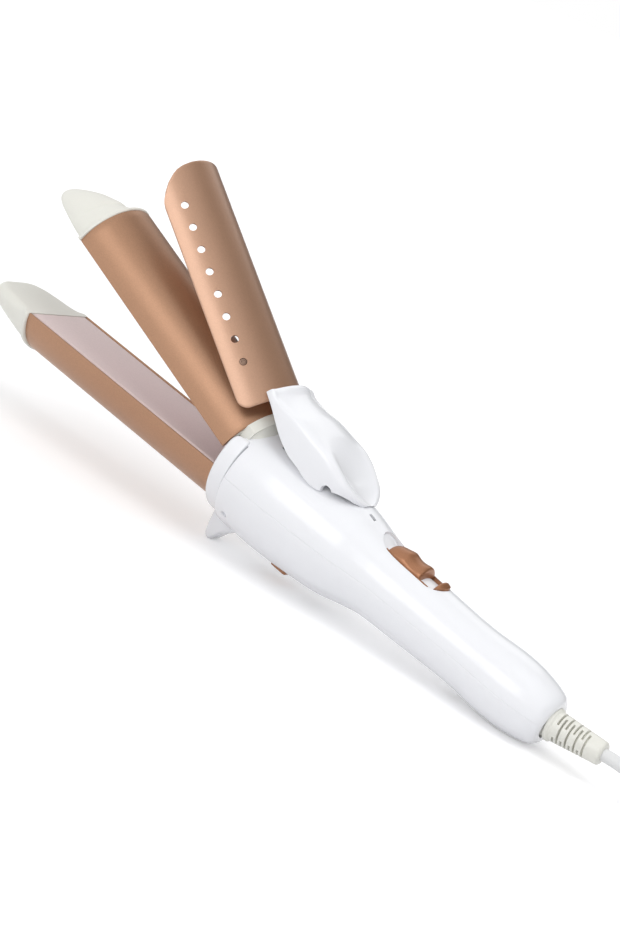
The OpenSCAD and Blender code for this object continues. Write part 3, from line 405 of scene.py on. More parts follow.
@dataclass
class Assembly:
    """Pieces of the tool that belong together, with the ways to make and deliver them."""

    places: Places

    def skin(self, loops: Sequence[Sequence[Vector]], ring: bool = False) -> Piece:
        """A closed skin through loops that have equally many points.

        Args:
            loops: Closed loops of points, in order along the piece.
            ring: Whether the last loop joins the first one instead of closing with a face.

        Returns:
            The object with its faces pointing outwards.
        """
        mesh = bmesh.new()
        rows = [[mesh.verts.new(p) for p in loop] for loop in loops]
        count = len(rows[0])
        for a, b in list(zip(rows, rows[1:])) + ([(rows[-1], rows[0])] if ring else []):
            for k in range(count):
                n = (k + 1) % count
                mesh.faces.new((a[k], a[n], b[n], b[k]))
        if not ring:
            mesh.faces.new(list(reversed(rows[0])))
            mesh.faces.new(rows[-1])
        bmesh.ops.remove_doubles(mesh, verts=mesh.verts, dist=1e-4)
        bmesh.ops.dissolve_degenerate(mesh, edges=mesh.edges, dist=1e-5)
        bmesh.ops.recalc_face_normals(mesh, faces=mesh.faces)
        data = bpy.data.meshes.new("piece")
        mesh.to_mesh(data)
        mesh.free()
        return put(data)

    def stack(self, outline: Sequence[Point], centre: Point,
              levels: Sequence[Point], across: bool = False) -> Piece:
        """A skin through one outline at several levels.

        Args:
            outline: Its points in x and y, or in x and z where it is stacked across the tool.
            centre: Where the outline is drawn in to.
            levels: Pairs of the level and how far the outline is drawn in there.
            across: Whether the levels run along y.

        Returns:
            The object.
        """
        middle = Vector(centre)
        loops = []
        for level, inset in levels:
            drawn = [Vector(p) - (Vector(p) - middle).normalized() * inset for p in outline]
            loops.append([Vector((p.x, level, p.y) if across else (p.x, p.y, level))
                          for p in drawn])
        return self.skin(loops)

    def prism(self, outline: Sequence[Point], low: float, high: float, edge: float = 0.0) -> Piece:
        """A plate with an outline in x and y, its two rims rounded.

        Args:
            outline: Points of the outline, in order.
            low: Height of its underside.
            high: Height of its top.
            edge: Radius of the rims.

        Returns:
            The object.
        """
        centre = Vector((sum(p[0] for p in outline), sum(p[1] for p in outline))) / len(outline)
        levels = [(low, 0.0), (high, 0.0)]
        if edge:
            near = edge * 0.3
            levels = [(low, edge), (low + near, near), (low + edge, 0.0), (high - edge, 0.0),
                      (high - near, near), (high, edge)]
        return self.stack(outline, centre, levels)

    def box(self, low: Triple, high: Triple, edge: float = 0.3) -> Piece:
        """A block with rounded upright edges and rims.

        Args:
            low: Its lowest corner.
            high: Its highest corner.
            edge: Radius of the edges.

        Returns:
            The object.
        """
        outline = [(x, y) for x, y, _ in rounded(low[:2], high[:2], edge, 5)]
        return self.prism(outline, low[2], high[2], min(edge, (high[2] - low[2]) / 3))

    def turned(self, profile: Sequence[Point], sides: int = 96) -> Piece:
        """A solid of revolution about x, from a closed profile of x and radius."""
        loops = [lathe(profile, 360.0 * k / sides) for k in range(sides)]
        return self.skin(loops, ring=True)

    def tube(self, length: float, inner: float, outer: float, sides: int) -> Piece:
        """A tube along x from 0."""
        return self.turned([(0.0, inner), (0.0, outer), (length, outer), (length, inner)], sides)

    def combine(self, body: Piece, how: Merge, *tools: Piece) -> None:
        """Cuts or joins solids exactly, one after the other.

        Args:
            body: The solid that changes.
            how: Whether the tools are cut away or joined on.
            tools: The other solids, which are used up.
        """
        for tool in tools:
            step = body.modifiers.new("merge", "BOOLEAN")
            step.operation = how.value
            step.solver = "EXACT"
            step.object = tool
            self._bake(body)
            bpy.data.objects.remove(tool)

    @staticmethod
    def _bake(obj: Piece) -> None:
        """Turns the modifiers' result into the object's plain mesh.

        Args:
            obj: The object, which has no modifiers afterwards.
        """
        graph = bpy.context.evaluated_depsgraph_get()
        graph.update()
        made = bpy.data.meshes.new_from_object(obj.evaluated_get(graph))
        obj.modifiers.clear()
        obj.data = made

    def repeat(self, shape: Piece, count: int, start: Triple, step: Triple) -> Piece:
        """Repeats a shape along a line as one real mesh, with Geometry Nodes.

        Args:
            shape: What is repeated, which is used up.
            count: How many times.
            start: Place of the first one.
            step: From one to the next.

        Returns:
            The object with all the copies.
        """
        tree = bpy.data.node_groups.new("repeat_along_line", "GeometryNodeTree")
        tree.interface.new_socket("Geometry", in_out="OUTPUT", socket_type="NodeSocketGeometry")
        graph = Graph(tree, "GeometryNode")
        line = graph.add("MeshLine", "Mesh",
                         {"Count": count, "Start Location": start, "Offset": step})
        solid = graph.add("ObjectInfo", "Geometry", {"Object": shape})
        row = graph.add("InstanceOnPoints", "Instances", {"Points": line, "Instance": solid})
        real = graph.add("RealizeInstances", "Geometry", {"Geometry": row})
        graph.feed(tree.nodes.new("NodeGroupOutput"), {"Geometry": real})
        obj = put(bpy.data.meshes.new("row"))
        obj.modifiers.new("row", "NODES").node_group = tree
        self._bake(obj)
        bpy.data.objects.remove(shape)
        return obj

    @staticmethod
    def join(body: Piece, *others: Piece) -> Piece:
        """Puts the others' faces into the first object's mesh.

        Args:
            body: The object that is kept.
            others: The objects that are used up.

        Returns:
            The first object.
        """
        mesh = bmesh.new()
        for obj in (body, *others):
            mesh.from_mesh(obj.data)
        mesh.to_mesh(body.data)
        mesh.free()
        for obj in others:
            bpy.data.objects.remove(obj)
        return body

    @staticmethod
    def deliver(name: str, obj: Piece, seat: Seat, finish: Finish, node: str = "",
                sharp: float = 38.0) -> Piece:
        """Names a piece, carries it to its seat, dresses it and lets it ride there.

        Args:
            name: Name of the piece.
            obj: The piece, in its own frame.
            seat: Where it rests and what it rides on.
            finish: Its finish.
            node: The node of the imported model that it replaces.
            sharp: Faces that meet at more than this angle keep a sharp edge, in degrees.

        Returns:
            The finished piece.
        """
        obj.name = name
        obj.data.transform(seat.matrix)
        obj.data.materials.clear()
        obj.data.materials.append(finish.material())
        for polygon in obj.data.polygons:
            polygon.use_smooth = True
            polygon.material_index = 0
        obj.data.set_sharp_from_angle(angle=math.radians(sharp))
        obj.data.update()
        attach(obj, seat.body.value)
        if node:
            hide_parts(node)
        log.info("%s: %d faces on %s", name, len(obj.data.polygons), seat.body.value)
        return obj


# Studio


@dataclass
class Studio:
    """Camera, floor, world and lamps."""

    eye: Triple = (-0.307622, 0.546159, 0.207319)
    right: Triple = (-0.753799, -0.533376, 0.383792)
    up: Triple = (0.463246, -0.017119, 0.886064)
    back: Triple = (-0.466036, 0.845705, 0.259989)
    focal_px: float = 2000.0
    width_px: float = 620.0
    floor_size: float = 30.0
    floor_colour: Row = (0.82, 0.82, 0.83, 1.0)
    floor_near: Point = (0.3, 0.3)
    floor_far: Point = (2.5, 0.85)
    world_light: float = 0.65
    dim_side: Triple = (-0.66, -0.72, 0.21)
    dim_from: float = -0.25
    dim_to: float = 0.7
    dim_share: float = 0.05
    lamps: tuple[tuple[str, Triple, float, float, bool], ...] = (
        # name, place, size, power, whether shiny surfaces mirror it
        ("key_softbox", (-0.4, 0.2, 1.3), 0.9, 6.0, False),
        ("front_softbox", (0.15, 1.2, 0.7), 0.7, 3.6, True),
        ("rim_softbox", (0.35, -0.9, 0.9), 0.8, 1.6, True))

    def camera(self) -> None:
        """Makes the camera that looks as the photograph does."""
        data = bpy.data.cameras.new("camera")
        data.sensor_fit = "HORIZONTAL"
        data.sensor_width = 36.0
        data.lens = self.focal_px * data.sensor_width / self.width_px
        data.clip_start = 0.01
        data.clip_end = 100.0
        cam = put(data)
        turn = Matrix((self.right, self.up, self.back)).transposed().to_4x4()
        cam.matrix_world = Matrix.Translation(self.eye) @ turn
        bpy.context.scene.camera = cam

    def floor(self) -> None:
        """Makes the pale floor, which the camera sees as white where nothing shades it."""
        half = self.floor_size / 2
        data = bpy.data.meshes.new("floor")
        data.from_pydata([(-half, -half, 0), (half, -half, 0), (half, half, 0),
                          (-half, half, 0)], [], [(0, 1, 2, 3)])
        mat = bpy.data.materials.new("floor_paper")
        mat.use_nodes = True
        graph = Graph(mat.node_tree)
        away = graph.add("VectorMath", "Value",
                         {0: graph.add("TexCoord", "Object")}, operation="LENGTH")
        glow = graph.add("MapRange", "Result", {
            "Value": away, "From Min": self.floor_near[0], "From Max": self.floor_far[0],
            "To Min": self.floor_near[1], "To Max": self.floor_far[1]})
        seen = graph.calc("MAXIMUM", graph.ray("Camera"), graph.ray("Glossy"))
        graph.feed(mat.node_tree.nodes["Principled BSDF"], {
            "Roughness": 1.0, "Specular IOR Level": 0.0, "Base Color": self.floor_colour,
            "Emission Color": WHITE, "Emission Strength": graph.calc("MULTIPLY", seen, glow)})
        data.materials.append(mat)
        put(data)

    def world(self) -> None:
        """Lights evenly, white to the camera and with one dimmer side to shiny surfaces."""
        world = bpy.data.worlds.new("studio_world")
        bpy.context.scene.world = world
        world.use_nodes = True
        graph = Graph(world.node_tree)
        facing = graph.add("VectorMath", "Value", {
            0: graph.add("TexCoord", "Generated"), 1: self.dim_side},
            operation="DOT_PRODUCT")
        dimmed = graph.add("MapRange", "Result", {
            "Value": facing, "From Min": self.dim_from, "From Max": self.dim_to, "To Min": 1.0,
            "To Max": self.dim_share}, interpolation_type="SMOOTHSTEP")
        glossy = graph.ray("Glossy")
        seen = graph.calc("MAXIMUM", graph.ray("Camera"), graph.ray("Transmission"))
        shown = graph.calc("MAXIMUM", seen, graph.calc("MULTIPLY", glossy, dimmed))
        strength = graph.add("Mix", "Result", {
            "Factor": graph.calc("MAXIMUM", glossy, seen), "A": self.world_light, "B": shown})
        graph.feed(world.node_tree.nodes["Background"], {"Color": WHITE, "Strength": strength})

    def lights(self) -> None:
        """Places the softboxes round the tool."""
        for name, place, size, power, mirrored in self.lamps:
            data = bpy.data.lights.new(name, "AREA")
            data.shape = "SQUARE"
            data.size = size
            data.energy = power
            lamp = put(data)
            lamp.location = place
            lamp.visible_glossy = mirrored
            lamp.rotation_euler = Vector(place).to_track_quat("Z", "Y").to_euler()

    def build(self) -> None:
        """Sets up the whole studio."""
        bpy.context.scene.view_settings.view_transform = "Standard"
        self.camera()
        self.floor()
        self.world()
        self.lights()
        log.info("studio: camera, floor, world and %d lamps", len(self.lamps))


# Cord, plug and tie


@dataclass
class MainsCord(Assembly):
    """The cord from its strain relief through its folded length to the plug."""

    cord_d: float = 4.2
    loops: int = 2
    layers: int = 4
    run_len: float = 44.0
    waist_pull: float = 3.0
    run_rings: int = 5
    half_rings: int = 12
    tie_w: float = 5.0
    tie_t: float = 0.5
    tie_corner: float = 2.2
    relief_len: float = 17.5
    route: tuple[Triple, ...] = (
        # distance along x, share of the fold's radius in -y, share of the way down to the table
        (0, 0, 0), (-5, 0, -0.0202), (-10, 0, 0.01), (-15, 0.034, 0.12), (-20, 0.1, 0.32),
        (-25, 0.21, 0.56), (-30, 0.366, 0.77), (-35, 0.548, 0.92), (-40, 0.722, 0.985),
        (-45, 0.861, 1), (-50, 0.958, 1), (-55, 1, 1), (-59.5, 1, 1))
    end_route: tuple[Triple, ...] = (
        (0, 0, 0), (-4.5, 0, 0), (-9, 0.2, 0.4), (-15.4, 2.2, 1.3), (-20.2, 7.1, 2.6),
        (-22, 13.6, 4.1), (-20.2, 20.1, 5.7), (-15.4, 24.9, 7.2), (-9, 26.8, 8.5),
        (-4, 27, 9.3), (0, 27, 9.65), (4.5, 27, 9.65))
    plug_len: float = 48.0
    plug_shape: tuple[Triple, ...] = (
        # distance from the tail, half height, half width
        (0.0, 3.5, 3.5), (4.0, 3.9, 3.9), (10.0, 4.7, 4.7), (14.0, 5.4, 6.4), (17.0, 5.9, 8.8),
        (21.0, 6.3, 10.4), (26.0, 6.75, 11.2), (34.0, 6.85, 11.9), (42.0, 6.85, 12.6),
        (47.2, 6.85, 13.0), (47.8, 6.6, 12.75), (48.0, 6.2, 12.3))
    plug_sides: int = 48
    ribs: Point = (2.0, 13.0)
    rib_pitch: float = 2.6
    rib_depth: float = 0.35
    prong_len: float = 19.0
    prong_r: float = 2.0
    prong_gap: float = 18.6

    def __post_init__(self) -> None:
        """Works out the pitches of the folded length."""
        self.loop_pitch = self.cord_d + 0.9
        self.layer_pitch = self.cord_d + 0.5
        self.outer_r = 3 * self.cord_d + 0.2 + self.loops * self.loop_pitch
        self.hank_z = self.tie_t + 0.15 + self.cord_d / 2

    def _fold(self, turns: float) -> float:
        """Radius of the fold, which goes in, out, in and out again.

        Args:
            turns: Turns of the cord so far.

        Returns:
            The radius.
        """
        over = turns - self.loops * self.layers
        if over > 0:
            return self.outer_r + self.loop_pitch * over
        phase = turns % (2 * self.loops)
        return self.outer_r - self.loop_pitch * min(phase, 2 * self.loops - phase)

    def _layer(self, turns: float) -> float:
        """Layer of the folded length.

        Args:
            turns: Turns of the cord so far.

        Returns:
            The layer, which rises by one along a straight run.
        """
        full = math.floor(turns / self.loops)
        if full < 1:
            return 0.0
        if full >= self.layers:
            return self.layers - 1.0
        run = self.run_rings / self.half_rings / 2
        return full - 1 + min(1.0, (turns - full * self.loops) / run)

    def _hank_point(self, i: int, centre_x: float) -> Vector:
        """Point of the folded length.

        Args:
            i: Its number.
            centre_x: Middle of the folded length.

        Returns:
            The point.
        """
        turns = i / self.half_rings / 2
        r = self._fold(turns)
        j = i % self.half_rings
        side = -1 if i % (2 * self.half_rings) < self.half_rings else 1
        q = min(1.0, j / self.run_rings)
        a = math.pi * max(0, j - self.run_rings) / (self.half_rings - self.run_rings)
        pull = 0.0 if j > self.run_rings else self.waist_pull * (1 - math.cos(2 * math.pi * q)) / 2
        return Vector((centre_x + side * self.run_len * (q - 0.5) + side * r * math.sin(a),
                       side * (r * math.cos(a) - pull),
                       self.hank_z + self.layer_pitch * self._layer(turns)))

    def points(self, leave: Vector) -> tuple[list[Vector], float]:
        """The whole route of the cord.

        Args:
            leave: Where it leaves the strain relief.

        Returns:
            The points, which end at the plug's tail, and the folded length's middle.
        """
        drop = self.hank_z - leave.z
        first = [leave + Vector((x, -a * self.outer_r, c * drop)) for x, a, c in self.route]
        centre = first[-1].x - self.cord_d - self.run_len / 2
        turns = self.loops * self.layers + self.run_rings / self.half_rings / 2
        last = round(turns * 2 * self.half_rings)
        hank = [self._hank_point(i, centre) for i in range(last + 1)]
        tail = hank[-1] - Vector((self.cord_d, 0, 0))
        return first + hank + [tail + Vector(p) for p in self.end_route], centre

    def build(self) -> None:
        leave = self.places.relief.matrix @ Vector((self.relief_len, 0, 0)) * 1000.0
        points, centre = self.points(leave)
        plug = self._plug(points[-1])
        pins = self._pins(points[-1])
        tie = self._tie(centre)
        line = [Vector(p) * 0.001 for p in smooth_curve([tuple(p) for p in points], 4)]
        data = bpy.data.curves.new("mains_cord", "CURVE")
        data.dimensions = "3D"
        data.bevel_depth = self.cord_d / 2000.0
        data.bevel_resolution = 4
        data.use_fill_caps = True
        spline = data.splines.new("POLY")
        spline.points.add(len(line) - 1)
        for target, p in zip(spline.points, line):
            target.co = (*p, 1.0)
        spline.use_smooth = True
        cord = put(data)
        data.materials.append(JACKET.material())
        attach(cord, Body.HOUSING.value)
        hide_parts("cord", "cord_hank", "cord_end")

    def _plug(self, start: Vector) -> Piece:
        """The moulded plug with its ribbed tail.

        Args:
            start: Where the tail begins.

        Returns:
            The plug.
        """
        loops = []
        for x, h, w in smooth_curve(self.plug_shape, 4):
            x = min(x, self.plug_len)
            ribbed = (self.ribs[0] < x < self.ribs[1]
                      and math.sin(x * 2 * math.pi / self.rib_pitch) < -0.2)
            groove = self.rib_depth if ribbed else 0.0
            flat = 2.0 / (2.0 + max(0.0, w - h) * 0.45)
            loop = []
            for k in range(self.plug_sides):
                a = 2 * math.pi * k / self.plug_sides
                c, s = math.cos(a), math.sin(a)
                y = (w - groove) * math.copysign(abs(c) ** flat, c)
                z = (h - groove) * math.copysign(abs(s) ** (0.5 + flat / 2), s)
                loop.append(start + Vector((x, y, z)))
            loops.append(loop)
        return self.deliver("mains_plug", self.skin(loops), self.places.table, JACKET, "plug_body")

    def _pins(self, start: Vector) -> Piece:
        """The plug's two round pins.

        Args:
            start: Where the plug's tail begins.

        Returns:
            The pair of pins.
        """
        x, r = self.plug_len - 0.5, self.prong_r
        end = self.plug_len + self.prong_len
        pin = self.turned([(x, 0.01), (x, r), (end - 1.0, r), (end - 0.4, r - 0.25),
                           (end, r - 0.8), (end, 0.01)], 32)
        pair = self.repeat(pin, 2, (start.x, start.y - self.prong_gap / 2, start.z),
                           (0.0, self.prong_gap, 0.0))
        return self.deliver("plug_pin_pair", pair, self.places.table, STEEL, "plug_pins")

    def _tie(self, centre: float) -> Piece:
        """The band that holds the folded length at its waist.

        Args:
            centre: Middle of the folded length.

        Returns:
            The band.
        """
        half_w = self.outer_r - self.waist_pull + self.cord_d / 2 + 0.9
        low = self.hank_z - self.cord_d / 2 - 0.1
        high = self.hank_z + (self.layers - 1) * self.layer_pitch + self.cord_d / 2 + 0.1
        half = self.tie_w / 2
        section = [(-half, 0.0), (-half, 0.35), (-half + 0.2, 0.5), (half - 0.2, 0.5),
                   (half, 0.35), (half, 0.0)]
        loops = [[Vector((centre + dx, y, z)) + polar(0.0, t - 0.02, 90 - a) for dx, t in section]
                 for y, z, a in rounded((-half_w, low), (half_w, high), self.tie_corner, 6)]
        return self.deliver("cord_band", self.skin(loops, ring=True), self.places.table, TIE,
                            "cord_tie")


# Handle


@dataclass
class Handle(Assembly):
    """The two handle shells, the front collar with its foot and the strain relief."""

    length: float = 136.0
    head_d: float = 37.4
    grip_d: float = 24.0
    waist_d: float = 22.4
    heel_d: float = 23.7
    wall: float = 2.0
    rim_r: float = 0.3
    seam_w: float = 0.7
    seam_depth: float = 0.07
    barrel_d: float = 32.0
    collar_len: float = 6.0
    collar_top: float = 12.0
    lug_depth: float = 28.6
    lug_w: float = 7.0
    switch_x: float = 57.0
    switch_len: float = 28.0
    switch_w: float = 11.6
    lock_x: float = -33.0
    relief_len: float = 18.7
    relief_r: Point = (5.15, 3.85)
    relief_pitch: float = 2.85
    relief_slots: int = 4
    first_slot: float = 3.4
    cord_d: float = 4.2
    screw_places: tuple[float, ...] = (-47.0, -104.5)
    well_r: float = 2.8
    window_x: Point = (-2.4, 9.0)
    slot_cut: tuple[Triple, Triple] = ((-52.6, 1.6, 4.0), (-49.8, 3.0, 30.0))
    # Dark block under the slot: painted shade that stands in for the shadow inside the handle
    slot_shade_plate: tuple[Triple, Triple] = ((-53.0, 1.2, 13.2), (-49.4, 3.4, 14.95))
    drain: Point = (-10.8, 128.5)
    drain_r: float = 1.1
    clip_pin_x: float = -17.5
    notch_half_w: float = 3.6
    cheek_out: float = 8.2
    rim: tuple[Point, ...] = (
        # angle from the top, where the shell begins
        (0, -6.2), (12, -6.0), (15.5, -5.1), (27.5, -3.9), (40, -3.2), (49.2, -2.9),
        (50.2, -6.15), (180, -6.15))
    heel: tuple[Point, ...] = (
        (-135.0, 8.05), (-135.5, 7.35), (-135.75, 6.6), (-135.8, 5.9), (-135.6, 5.5),
        (-134.4, 5.45))

    @cached_property
    def outline(self) -> list[Point]:
        """Outline of the handle.

        Returns:
            Pairs of x and radius, in rising x.
        """
        r, g, heel = self.head_d / 2, self.grip_d / 2, self.heel_d / 2
        end = -self.length
        knots = [(-self.collar_len - 0.4, r - 0.2), (-14, r - 0.05), (-21, r), (-31, r - 0.5),
                 (-43, r - 1.55), (-50, (2 * r + g) / 3 - 0.35), (-55, (r + g) / 2 - 0.5),
                 (-60, (r + 3 * g) / 4 - 0.05), (-66, g + 0.55), (-79, g),
                 (end + 35, self.waist_d / 2), (end + 21, heel), (end + 13, heel - 0.25),
                 (end + 6, heel - 1.45), (end + 1.9, heel - 2.9), (end + 0.2, heel - 4.6)]
        return sorted(smooth_curve(knots, 10))

    def radius(self, x: float) -> float:
        """Outer radius of the handle at a distance along its axis."""
        return at(self.outline, x)

    def _profile(self, angle: float, sink: float) -> list[Point]:
        """Closed profile of the shell's wall.

        Args:
            angle: Where round the axis, in degrees from the top.
            sink: How far the outer face lies below the outline.

        Returns:
            Pairs of x and radius, outer face first.
        """
        front = at(self.rim, abs(angle))
        edge = self.radius(front - self.rim_r)
        outer = [(front - self.rim_r * t, edge - self.rim_r * fillet(t))
                 for t in (0.0, 0.12, 0.35, 0.65, 1.0)]
        outer += [(x, self.radius(x)) for x in (*spread(front - 0.8, -15.0, 10),
                                                *spread(-16.0, -self.length + 1.9, 96))]
        bore = self.heel[-1][1]
        inner = [(x, max(bore, self.radius(x) - self.wall)) for x in (
            *spread(-133.0, -16.0, 60), *spread(-15.0, front, 8))]
        return [(x, r - sink) for x, r in outer] + list(self.heel) + inner

    def _shell(self, first: float, last: float) -> Piece:
        """Half of the handle, with a fine groove at the parting line.

        Args:
            first: Angle from the top where it begins.
            last: Angle where it ends.

        Returns:
            The half.
        """
        marks = [side * angle for side in (1, -1) for angle, _ in self.rim[-3:-1]]
        inner = [a for a in spread(first + 1.5, last - 1.5, 120)
                 if all(abs(a - m) > 0.4 for m in marks)]
        loops = []
        for a in (first, first + 0.25, first + self.seam_w,
                  *sorted(inner + [m for m in marks if first < m < last]),
                  last - self.seam_w, last - 0.25, last):
            near = min(a - first, last - a)
            sink = self.seam_depth * max(0.0, 1 - near / self.seam_w)
            loops.append(lathe(self._profile(a, sink), a))
        return self.skin(loops)

    def _recess(self) -> list[Point]:
        """Rounded outline of the switch recess.

        Returns:
            Its points, seen from above.
        """
        r = self.switch_w / 2
        return (arc(-self.switch_x - r, 0.0, r, spread(-90, 90, 16))
                + arc(-self.switch_x - self.switch_len + r, 0.0, r, spread(90, 270, 16)))

    def _top_shell(self) -> None:
        """Makes the upper shell with the lever's and the switch's recess and a slot, with a dark
        block under it as painted shade.
        """
        shell = self._shell(-89.96, 89.96)
        pin, cheek, notch = self.clip_pin_x, self.cheek_out + 0.25, self.notch_half_w
        self.combine(
            shell, Merge.CUT, self.prism(self._recess(), 2.0, 30.0),
            self.box((pin - 12, -cheek, 6.0), (pin + 3.8, cheek, 30.0), 0.8),
            self.box((pin + 3, -notch, 6.0), (2.0, notch, 30.0), 0.8),
            self.box(*self.slot_cut, 0.4))
        seat = self.places.handle
        self.deliver("top_shell", shell, seat, WHITE_GLOSS, "handle_upper_shell")
        # The dark block under the slot is painted shade, not a real part: it darkens the slot as
        # its shadow would
        self.deliver("slot_backing", self.box(*self.slot_shade_plate, 0.2), seat, DARK)

    def _bottom_shell(self) -> None:
        """Makes the lower shell with its screw wells, the lock's window and the drain hole."""
        shell = self._shell(90.04, 269.96)
        rear, front = (self.lock_x + x for x in self.window_x)
        window = self.box((rear, -3.3, -24.0), (front, 3.3, -10.0), 0.5)
        drills = [self.prism(arc(x, 0.0, self.well_r, range(0, 360, 12)), -24.0, -6.0)
                  for x in self.screw_places]
        drain = self.prism(arc(0.0, 0.0, self.drain_r, range(0, 360, 15)), -1.0, 8.0)
        spot = polar(self.drain[0], self.radius(self.drain[0]), self.drain[1])
        aim = Vector((0, spot.y, spot.z)).to_track_quat("Z", "X").to_matrix().to_4x4()
        drain.data.transform(Matrix.Translation(spot) @ aim)
        self.combine(shell, Merge.CUT, window, *drills, drain)
        for x in self.screw_places:
            floor = -self.radius(x) + 0.9
            well = self.tube(-6.0 - floor, self.well_r + 0.1, self.well_r + 1.0, 36)
            well.data.transform(Matrix.Translation((x, 0, floor))
                                @ Matrix.Rotation(-math.pi / 2, 4, "Y"))
            self.join(shell, well)
        self.deliver("bottom_shell", shell, self.places.handle, WHITE_GLOSS, "handle_lower_shell")

    def _collar(self) -> None:
        """Makes the collar ring, open at the top, with the foot lug that the tool stands on."""
        r = self.head_d / 2 - 0.2
        bore = self.barrel_d / 2 + 0.1
        section = [(-6.0, bore), (-6.0, r - 0.22), (-5.93, r - 0.07), (-5.75, r), (-1.4, r),
                   (-0.7, r - 0.15), (-0.2, r - 0.55), (0.0, r - 1.1), (0.0, bore + 1.3),
                   (-0.5, bore + 0.5), (-1.1, bore)]
        half = math.degrees(math.acos(self.collar_top / r))
        loops = []
        for a in spread(half, 360 - half, 150):
            near = min(a - half, 360 - half - a) * math.pi / 180 * r
            shrink = 0.55 * fillet(near / 1.4)
            ease = 2.7 * fillet(near / 3.2)
            loops.append(lathe([(x + (shrink * 0.2 if x < -3 else -ease),
                                 q - (shrink if q > bore + 1.5 else 0.0)) for x, q in section], a))
        ring = self.skin(loops)
        foot, w = -self.lug_depth, self.lug_w / 2
        side = [(-0.3, -16.8), (-0.5, foot + 5), (-1.2, foot + 1.5), (-2.0, foot + 0.3),
                (-3.0, foot), (-4.2, foot + 0.5), (-6.5, foot + 3.8), (-11.5, -20.4),
                (-11.5, -19.0), (-5.0, -16.8)]
        levels = [(-w, 0.9), (-w + 0.3, 0.3), (-w + 0.9, 0.0), (w - 0.9, 0.0), (w - 0.3, 0.3),
                  (w, 0.9)]
        lug = self.stack(side, (-4.0, -21.5), levels, across=True)
        self.combine(ring, Merge.FUSE, lug)
        melt = ring.modifiers.new("melt", "REMESH")
        melt.mode = "VOXEL"
        melt.voxel_size = 0.2
        soften = ring.modifiers.new("soften", "SMOOTH")
        soften.factor = 0.5
        soften.iterations = 4
        self._bake(ring)
        self.deliver("front_ring", ring, self.places.tool, WHITE_GLOSS, "front_collar", 60.0)

    def _relief(self) -> None:
        """Makes the cord's sleeve: a base ring, rows of staggered slots and a plain end."""
        length, pitch = self.relief_len, self.relief_pitch
        base, end = self.relief_r
        bore = self.cord_d / 2 - 0.02
        outer = [(-2.0, base - 0.35), (-0.1, base - 0.35), (0.0, base + 0.05),
                 (0.25, base + 0.3), (1.35, base + 0.3), (1.6, base + 0.1), (1.9, base - 0.25)]
        outer += [(x, base - 0.25 + (end - base + 0.25) * (x - 1.9) / (length - 2.9))
                  for x in spread(2.4, length - 1.0, 40)]
        outer += [(length - 0.5, end - 0.12), (length - 0.15, end - 0.5), (length, end - 1.0)]
        sleeve = self.turned(outer + [(length, bore), (-2.0, bore)])
        slot = ((-0.36, 2.9), (-0.36, 8.0), (0.36, 8.0), (0.36, 2.9))
        for turn, start in ((0.0, self.first_slot), (90.0, self.first_slot + pitch / 2)):
            arcs = [self.skin([lathe(slot, middle + a) for a in spread(-64, 64, 24)])
                    for middle in (turn, turn + 180.0)]
            row = self.repeat(self.join(*arcs), self.relief_slots, (start, 0.0, 0.0),
                              (pitch, 0.0, 0.0))
            self.combine(sleeve, Merge.CUT, row)
        self.deliver("cord_sleeve", sleeve, self.places.relief, CREAM, "strain_relief")

    def build(self) -> None:
        """Makes all the white shells and the cord's sleeve."""
        self._top_shell()
        self._bottom_shell()
        self._collar()
        self._relief()


# Arms


